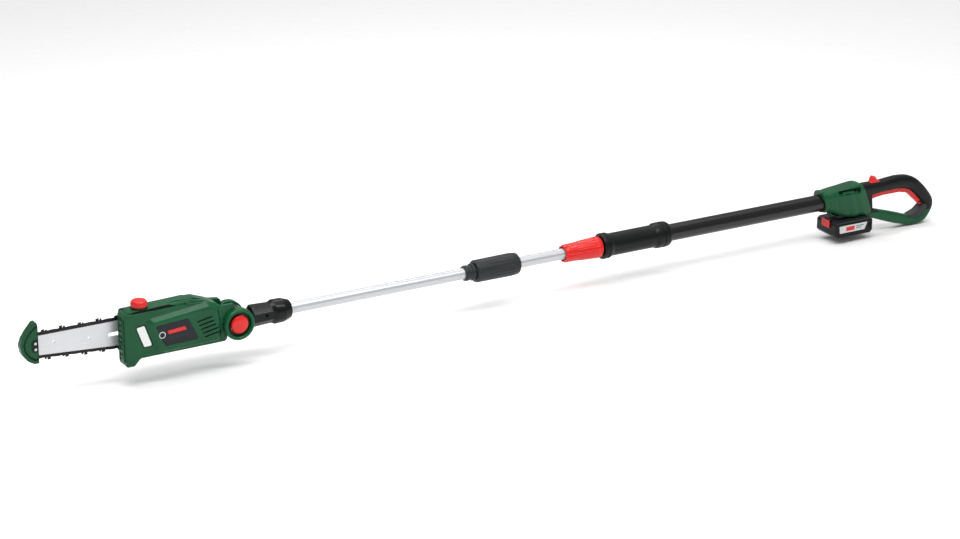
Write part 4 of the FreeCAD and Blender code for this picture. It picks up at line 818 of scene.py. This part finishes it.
def make_handle():
    def lip(x, h):
        front = 1 - smooth_step(x, D + 16, D + 60)
        rear = smooth_step(x, D + 70, D + 118)
        return (8 - h) * (0.14 * front + 0.38 * rear)

    def sculpt(x, y, h):
        if abs(h - 4) > 60:
            return y, h
        side = smooth_step(abs(y), 16, 21)
        low = 1 - smooth_step(h, 14, 24)
        fold = 2.0 * bell(x + 0.35 * h, D + 34, 4) - 2.2 * bell(x + 0.35 * h, D + 52, 11)
        fold += 3.2 * bell(x + 0.35 * h, D + 78, 10) - 2.4 * bell(x + 0.35 * h, D + 102, 9)
        return y + math.copysign(fold * side * low, y), h
    stations = [
        (D + 7, 26, -20.6, 22.6, 2.8), (D + 9, 27.6, -22, 24, 3.0), (D + 14, 27.6, -22.4, 24, 3.0),
        (D + 17, 26, -20.8, 22.4, 3.2), (D + 26, 27, -23.6, 23.4, 3.6), (D + 45, 28.4, -31, 24, 4.4),
        (D + 66, 30, -39, 24, 5), (D + 84, 31.6, -43.4, 24, 5.4), (D + 112, 33, -43.6, 23.4, 5.4),
        (D + 122, 31, -43.4, 21.6, 4.6),
    ]
    housing = loft("housing_skin", stations, "green", "handle",
                   ("handle_shell_left", "handle_shell_right"), steps=120, per=9, shape=sculpt, lean=lip)
    slot = [(D + 44, 16, 2), (D + 104, 15, 2), (D + 104, 27.5, 1), (D + 44, 26, 1)]
    carve(housing, cutter_slab(slot, -30, -14.5))
    carve(housing, cutter_slab(slot, 14.5, 30))
    # near-black block in the shadow look at the back of the slot: painted shade inside the slot
    gap = [(D + 91, 15.6, 1), (D + 103.6, 15.6, 1), (D + 103.6, 27.3, 1), (D + 91, 27, 1)]
    slab("side_gap", gap, -20.5, 20.5, "shadow", "handle", rim=(0.4, 0.4))
    shelf = [(D + 54, 14, 1), (D + 88, 13.4, 1), (D + 87, 21.6, 2), (D + 57, 21.8, 3)]
    slab("side_shelf", shelf, -22.4, 22.4, "green", "handle", rim=(1.6, 1.6))
    shade = [(D + 44.4, 22.6, 1), (D + 91, 23, 1), (D + 91, 27, 0.5), (D + 44.4, 25.8, 0.5)]
    slab("slot_shade", shade, -18.5, 18.5, "shadow", "handle", rim=(0.2, 0.2))
    # near-black ring in the shadow look at the housing mouth: painted shade between tube and housing
    mouth = [(D + 6.4, 18.85, 0.1), (D + 7.2, 21.6, 0.3), (D + 14, 22.6, 0.3), (D + 14, 18.85, 0.1)]
    lathe("tube_gap", "X", (0, 0, 0), mouth, "shadow", "handle", steps=96)


def make_d_grip():
    top = [
        (D + 110, 11, 15.6, 15.4, 3), (D + 128, 11, 15.6, 15.4, 3), (D + 146, 11.4, 15, 15.4, 2.8),
        (D + 164, 12, 14.4, 15.4, 2.6), (D + 182, 12.8, 14.4, 15.4, 2.5), (D + 200, 13.8, 15, 15.4, 2.4),
        (D + 222, 14.2, 15.6, 15.4, 2.4), (D + 246, 11.4, 15.8, 15.4, 2.4), (D + 266, 3.2, 15.6, 15.4, 2.4),
        (D + 284, -12, 15.4, 15.2, 2.4), (D + 300, -29.5, 15.2, 15, 2.4), (D + 311, -44, 14, 14.4, 2.5),
        (D + 312, -55, 12.2, 13.6, 2.6), (D + 308, -64, 10.2, 12.8, 2.8),
    ]
    sweep("d_grip_skin", top, "soft", "handle", ("grip_overmould",), steps=48, per=6, seam=0.5)
    cheek = [
        (D + 108, 19, 3), (D + 143, 16, 3), (D + 145, 0, 3), (D + 148, -32, 3), (D + 166, -42, 3),
        (D + 166, -45, 2), (D + 146, -43, 4), (D + 132, -22, 4), (D + 121, -4, 4),
    ]
    slab("d_cheek", cheek, -13.6, 13.6, "soft", "handle", rim=(4, 4))
    strut = [
        (D + 116, -39, 7.5, 15, 3), (D + 136, -47, 8.6, 14.4, 3), (D + 160, -50.8, 10.8, 13.8, 3),
        (D + 190, -60.5, 12.2, 13.4, 3), (D + 220, -70.5, 12.6, 13.2, 3), (D + 252, -80.2, 11.6, 13.2, 3),
        (D + 276, -84, 10.6, 13.2, 3), (D + 296, -80, 10.4, 13.2, 3), (D + 308, -68, 10, 13.2, 3),
        (D + 317, -55, 8, 12.4, 3), (D + 321, -46, 5, 10, 2.6),
    ]
    sweep("d_strut_skin", strut, "green", "handle", steps=48, per=6)
    heel = [
        (D + 256, -71, 3), (D + 281, -62.4, 10), (D + 298, -48, 3), (D + 313, -50, 3), (D + 307, -66, 6),
        (D + 290, -78, 6), (D + 264, -78, 4),
    ]
    slab("d_heel", heel, -12.4, 12.4, "heel", "handle", rim=(2.5, 2.5))


def make_buttons():
    trigger = [
        (D + 144.6, -3, 1), (D + 145.4, -15, 2), (D + 160, -12, 8), (D + 182, -9.6, 10), (D + 228, -10, 18),
        (D + 251, -15, 8), (D + 290, -50.5, 2), (D + 298, -48, 2), (D + 297, -42, 3), (D + 258, -3, 10),
        (D + 228, 3, 8), (D + 150, 2, 2),
    ]
    slab("trigger_skin", trigger, -5.5, 5.5, "red", "trigger", ("trigger",), rim=(2, 2))
    lock = [
        (D + 141, 20, 1), (D + 143, 24.5, 2), (D + 149, 28, 3), (D + 151, 36.4, 2.5), (D + 155, 38.6, 2),
        (D + 159, 36.2, 2), (D + 162, 30.6, 3), (D + 170, 27.4, 2), (D + 172, 20, 1),
    ]
    slab("lock_off_skin", lock, -7.8, 7.8, "red", "lock_off", ("lock_off_slider",), rim=(2.4, 2.4))
    for n in range(3):
        x = D + 151.6 + 3.1 * n
        rib = [(x, 33, 0.4), (x + 1.6, 33, 0.4), (x + 1.6, 39.7 - 0.8 * n, 0.6), (x, 39.9 - 0.8 * n, 0.6)]
        slab(f"lock_off_rib_{n}", rib, -5.6, 5.6, "red", "lock_off", rim=(0.5, 0.5))


def make_battery():
    B = BATT_X
    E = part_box("battery_case")[1][0] / MM

    def block(name, top, bottom, inset, look, rim, chamfer):
        rows = [
            (B + inset, bottom + chamfer, 3), (B + inset + chamfer, bottom, 3),
            (E - inset - chamfer, bottom, 3), (E - inset, bottom + chamfer, 3), (E - inset, top, 4),
            (B + inset, top, 4),
        ]
        return slab(name, rows, -37.3 + inset, 37.3 - inset, look, "battery", rim=(rim, rim))
    body = block("battery_skin", -47, -79.8, 0.2, "black", 5, 6)
    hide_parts("battery_case")
    shoulder = [
        (B + 1, -52, 1), (E - 1, -52, 1), (E - 1.5, -48, 2), (E - 6, -44, 3), (B + 7, -44, 3),
        (B + 1.5, -48, 2),
    ]
    top_half = slab("battery_shoulder", shoulder, -35.4, 35.4, "grey", "battery", rim=(4, 4))
    rail = [(B + 14, -40, 1), (E - 3, -40, 1), (E - 3, -31.4, 2), (B + 14, -31.4, 2)]
    slab("battery_rail", rail, -19, 19, "black", "battery", rim=(2, 2))
    label = [(B + 9, -51.8, 1.5), (B + 87, -51.8, 1.5), (B + 80, -68.6, 1.5), (B + 11, -68.6, 1.5)]
    slab("battery_label_skin", label, -37.42, -36.6, "label", "battery", ("battery_label",), rim=(0.15, 0))
    patch = [(B + 28, -55, 1), (B + 52, -55, 1), (B + 51, -65, 1), (B + 28, -65, 1)]
    slab("label_patch", patch, -37.45, -37, "red", "battery", rim=(0.02, 0))
    for n in range(2):
        line = [(B + 56, -56 - 4.4 * n, 0.3), (B + 76 - 6 * n, -56 - 4.4 * n, 0.3),
                (B + 76 - 6 * n, -57.8 - 4.4 * n, 0.3), (B + 56, -57.8 - 4.4 * n, 0.3)]
        slab(f"label_line_{n}", line, -37.45, -37, "grey", "battery", rim=(0.02, 0))
    # flat near-black patch in the shadow look: painted shade for the vent opening
    corner = [(E - 10.6, -53, 1.5), (E - 5, -53, 1.5), (E - 5, -66, 1.5), (E - 14, -66, 1.5)]
    slab("battery_vent", corner, -37.4, -36.6, "shadow", "battery", rim=(0.1, 0))
    low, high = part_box("battery_release")
    left, near, foot = (low - Vector((0, 0, AXIS))) / MM
    _, far, crown = (high - Vector((0, 0, AXIS))) / MM
    crown -= 11
    pocket = [(B - 2, foot - 0.6, 0.2), (B + 8, foot - 0.6, 0.2), (B + 8, crown + 0.6, 0.2),
              (B - 2, crown + 0.6, 0.2)]
    for piece in (body, top_half):
        carve(piece, cutter_slab(pocket, near + 3.4, far - 3.4))
    key = [(left, foot, 1.5), (left + 2.4, foot, 0.5), (left + 2.4, crown, 0.5), (left, crown, 1.5)]
    slab("battery_key", key, near + 4, far - 4, "red", "battery_latch", ("battery_release",),
         rim=(1.4, 1.4))
    for n in range(3):
        h = foot + 2.6 + 3.6 * n
        rib = [
            (left - 0.5, h, 0.4), (left + 1, h, 0.2), (left + 1, h + 1.6, 0.2), (left - 0.5, h + 1.6, 0.4),
        ]
        slab(f"battery_key_rib_{n}", rib, near + 7, far - 7, "red", "battery_latch", rim=(0.4, 0.4))


make_handle()
make_d_grip()
make_buttons()
make_battery()
settle_cutters()


# ------------------------------------------------------------------ finishes on the CAD nodes
FINISH = {
    "steel_fixing": "zinc", "bar_steel": "bar", "chain_steel": "chain", "silver_tube": "tube",
    "black_tube": "dark_tube", "motor_steel": "steel", "gear_steel": "steel", "brass_contact": "brass",
    "tank_white": "white", "soft_black": "soft", "black_plastic": "black", "grey_plastic": "grey",
    "green_plastic": "green", "red_plastic": "red", "badge_black": "badge", "label_silver": "label",
    "cell_wrap": "wrap", "circuit_board": "board",
}
BLACKENED = ("socket_screw", "handle_screws", "trigger_pin")     # fixings with a black finish


def finish_nodes():
    for name, node in frame["nodes"].items():
        if node.hide_render:
            continue
        before = node.data.materials[0].name if node.data.materials else ""
        slot = next((s for s in FINISH if before.startswith(s)), None)
        look = "black" if name in BLACKENED else FINISH.get(slot, "black")
        node.data.materials.clear()
        node.data.materials.append(M[look])


finish_nodes()


# ------------------------------------------------------------------ stage
def make_floor():
    mesh = bpy.data.meshes.new("floor")
    build = bmesh.new()
    reach = 12
    for x, y in ((-reach, -reach), (reach, -reach), (reach, reach), (-reach, reach)):
        build.verts.new((x, y, -0.0005))
    build.faces.new(build.verts)
    build.to_mesh(mesh)
    build.free()
    material, tree, base = shader("floor_paper")
    coords = tree.nodes.new("ShaderNodeTexCoord")
    grain = noise_node(tree, coords, 40, 4)
    tint = ramp_node(tree, grain, "Fac", [(0.3, (0.93, 0.93, 0.93)), (0.7, (0.96, 0.96, 0.96))])
    link(tree, tint, "Color", base, "Base Color")
    base.inputs["Roughness"].default_value = 0.85
    mesh.materials.append(material)
    floor = bpy.data.objects.new("floor", mesh)
    bpy.context.scene.collection.objects.link(floor)


def aim(item, target):
    way = Vector(target) - item.location
    item.rotation_euler = way.to_track_quat("-Z", "Y").to_euler()


def area(name, place, target, width, height, power_w):
    light = bpy.data.lights.new(name, "AREA")
    light.shape = "RECTANGLE"
    light.size = width
    light.size_y = height
    light.energy = power_w
    item = bpy.data.objects.new(name, light)
    item.location = place
    bpy.context.scene.collection.objects.link(item)
    aim(item, target)


def overhead(strength):
    """Wide soft light straight down, as from a studio ceiling."""
    light = bpy.data.lights.new("ceiling", "SUN")
    light.energy = strength
    light.angle = math.radians(70)
    item = bpy.data.objects.new("ceiling", light)
    item.location = (0, 0, 4)
    item.rotation_euler = (math.radians(-8), 0, 0)
    bpy.context.scene.collection.objects.link(item)


def make_world():
    world = bpy.data.worlds.new("studio")
    world.use_nodes = True
    back = world.node_tree.nodes["Background"]
    back.inputs["Color"].default_value = (1, 1, 1, 1)
    back.inputs["Strength"].default_value = 0.42
    bpy.context.scene.world = world


CAMERA_PLACE = (-2.84666, -4.77122, 2.11508)
CAMERA_DROP_DEG = 20.12
CAMERA_TURN_DEG = 30


def make_camera():
    lens = bpy.data.cameras.new("view")
    lens.lens = 105
    lens.sensor_width = 36
    camera = bpy.data.objects.new("view", lens)
    camera.location = CAMERA_PLACE
    tilt = math.radians(CAMERA_DROP_DEG)
    turn = math.radians(CAMERA_TURN_DEG)
    way = Vector((math.sin(turn) * math.cos(tilt), math.cos(turn) * math.cos(tilt), -math.sin(tilt)))
    camera.rotation_euler = way.to_track_quat("-Z", "Y").to_euler()
    bpy.context.scene.collection.objects.link(camera)
    bpy.context.scene.camera = camera


bpy.context.scene.view_settings.view_transform = "Standard"
make_floor()
make_world()
make_camera()
overhead(1.2)
area("key", (-0.3, -0.75, 1.9), (0, 0, 0.1), 3.0, 0.3, 34)
area("rim", (0.2, 1.5, 2.0), (0, 0, 0.1), 2.8, 0.3, 16)
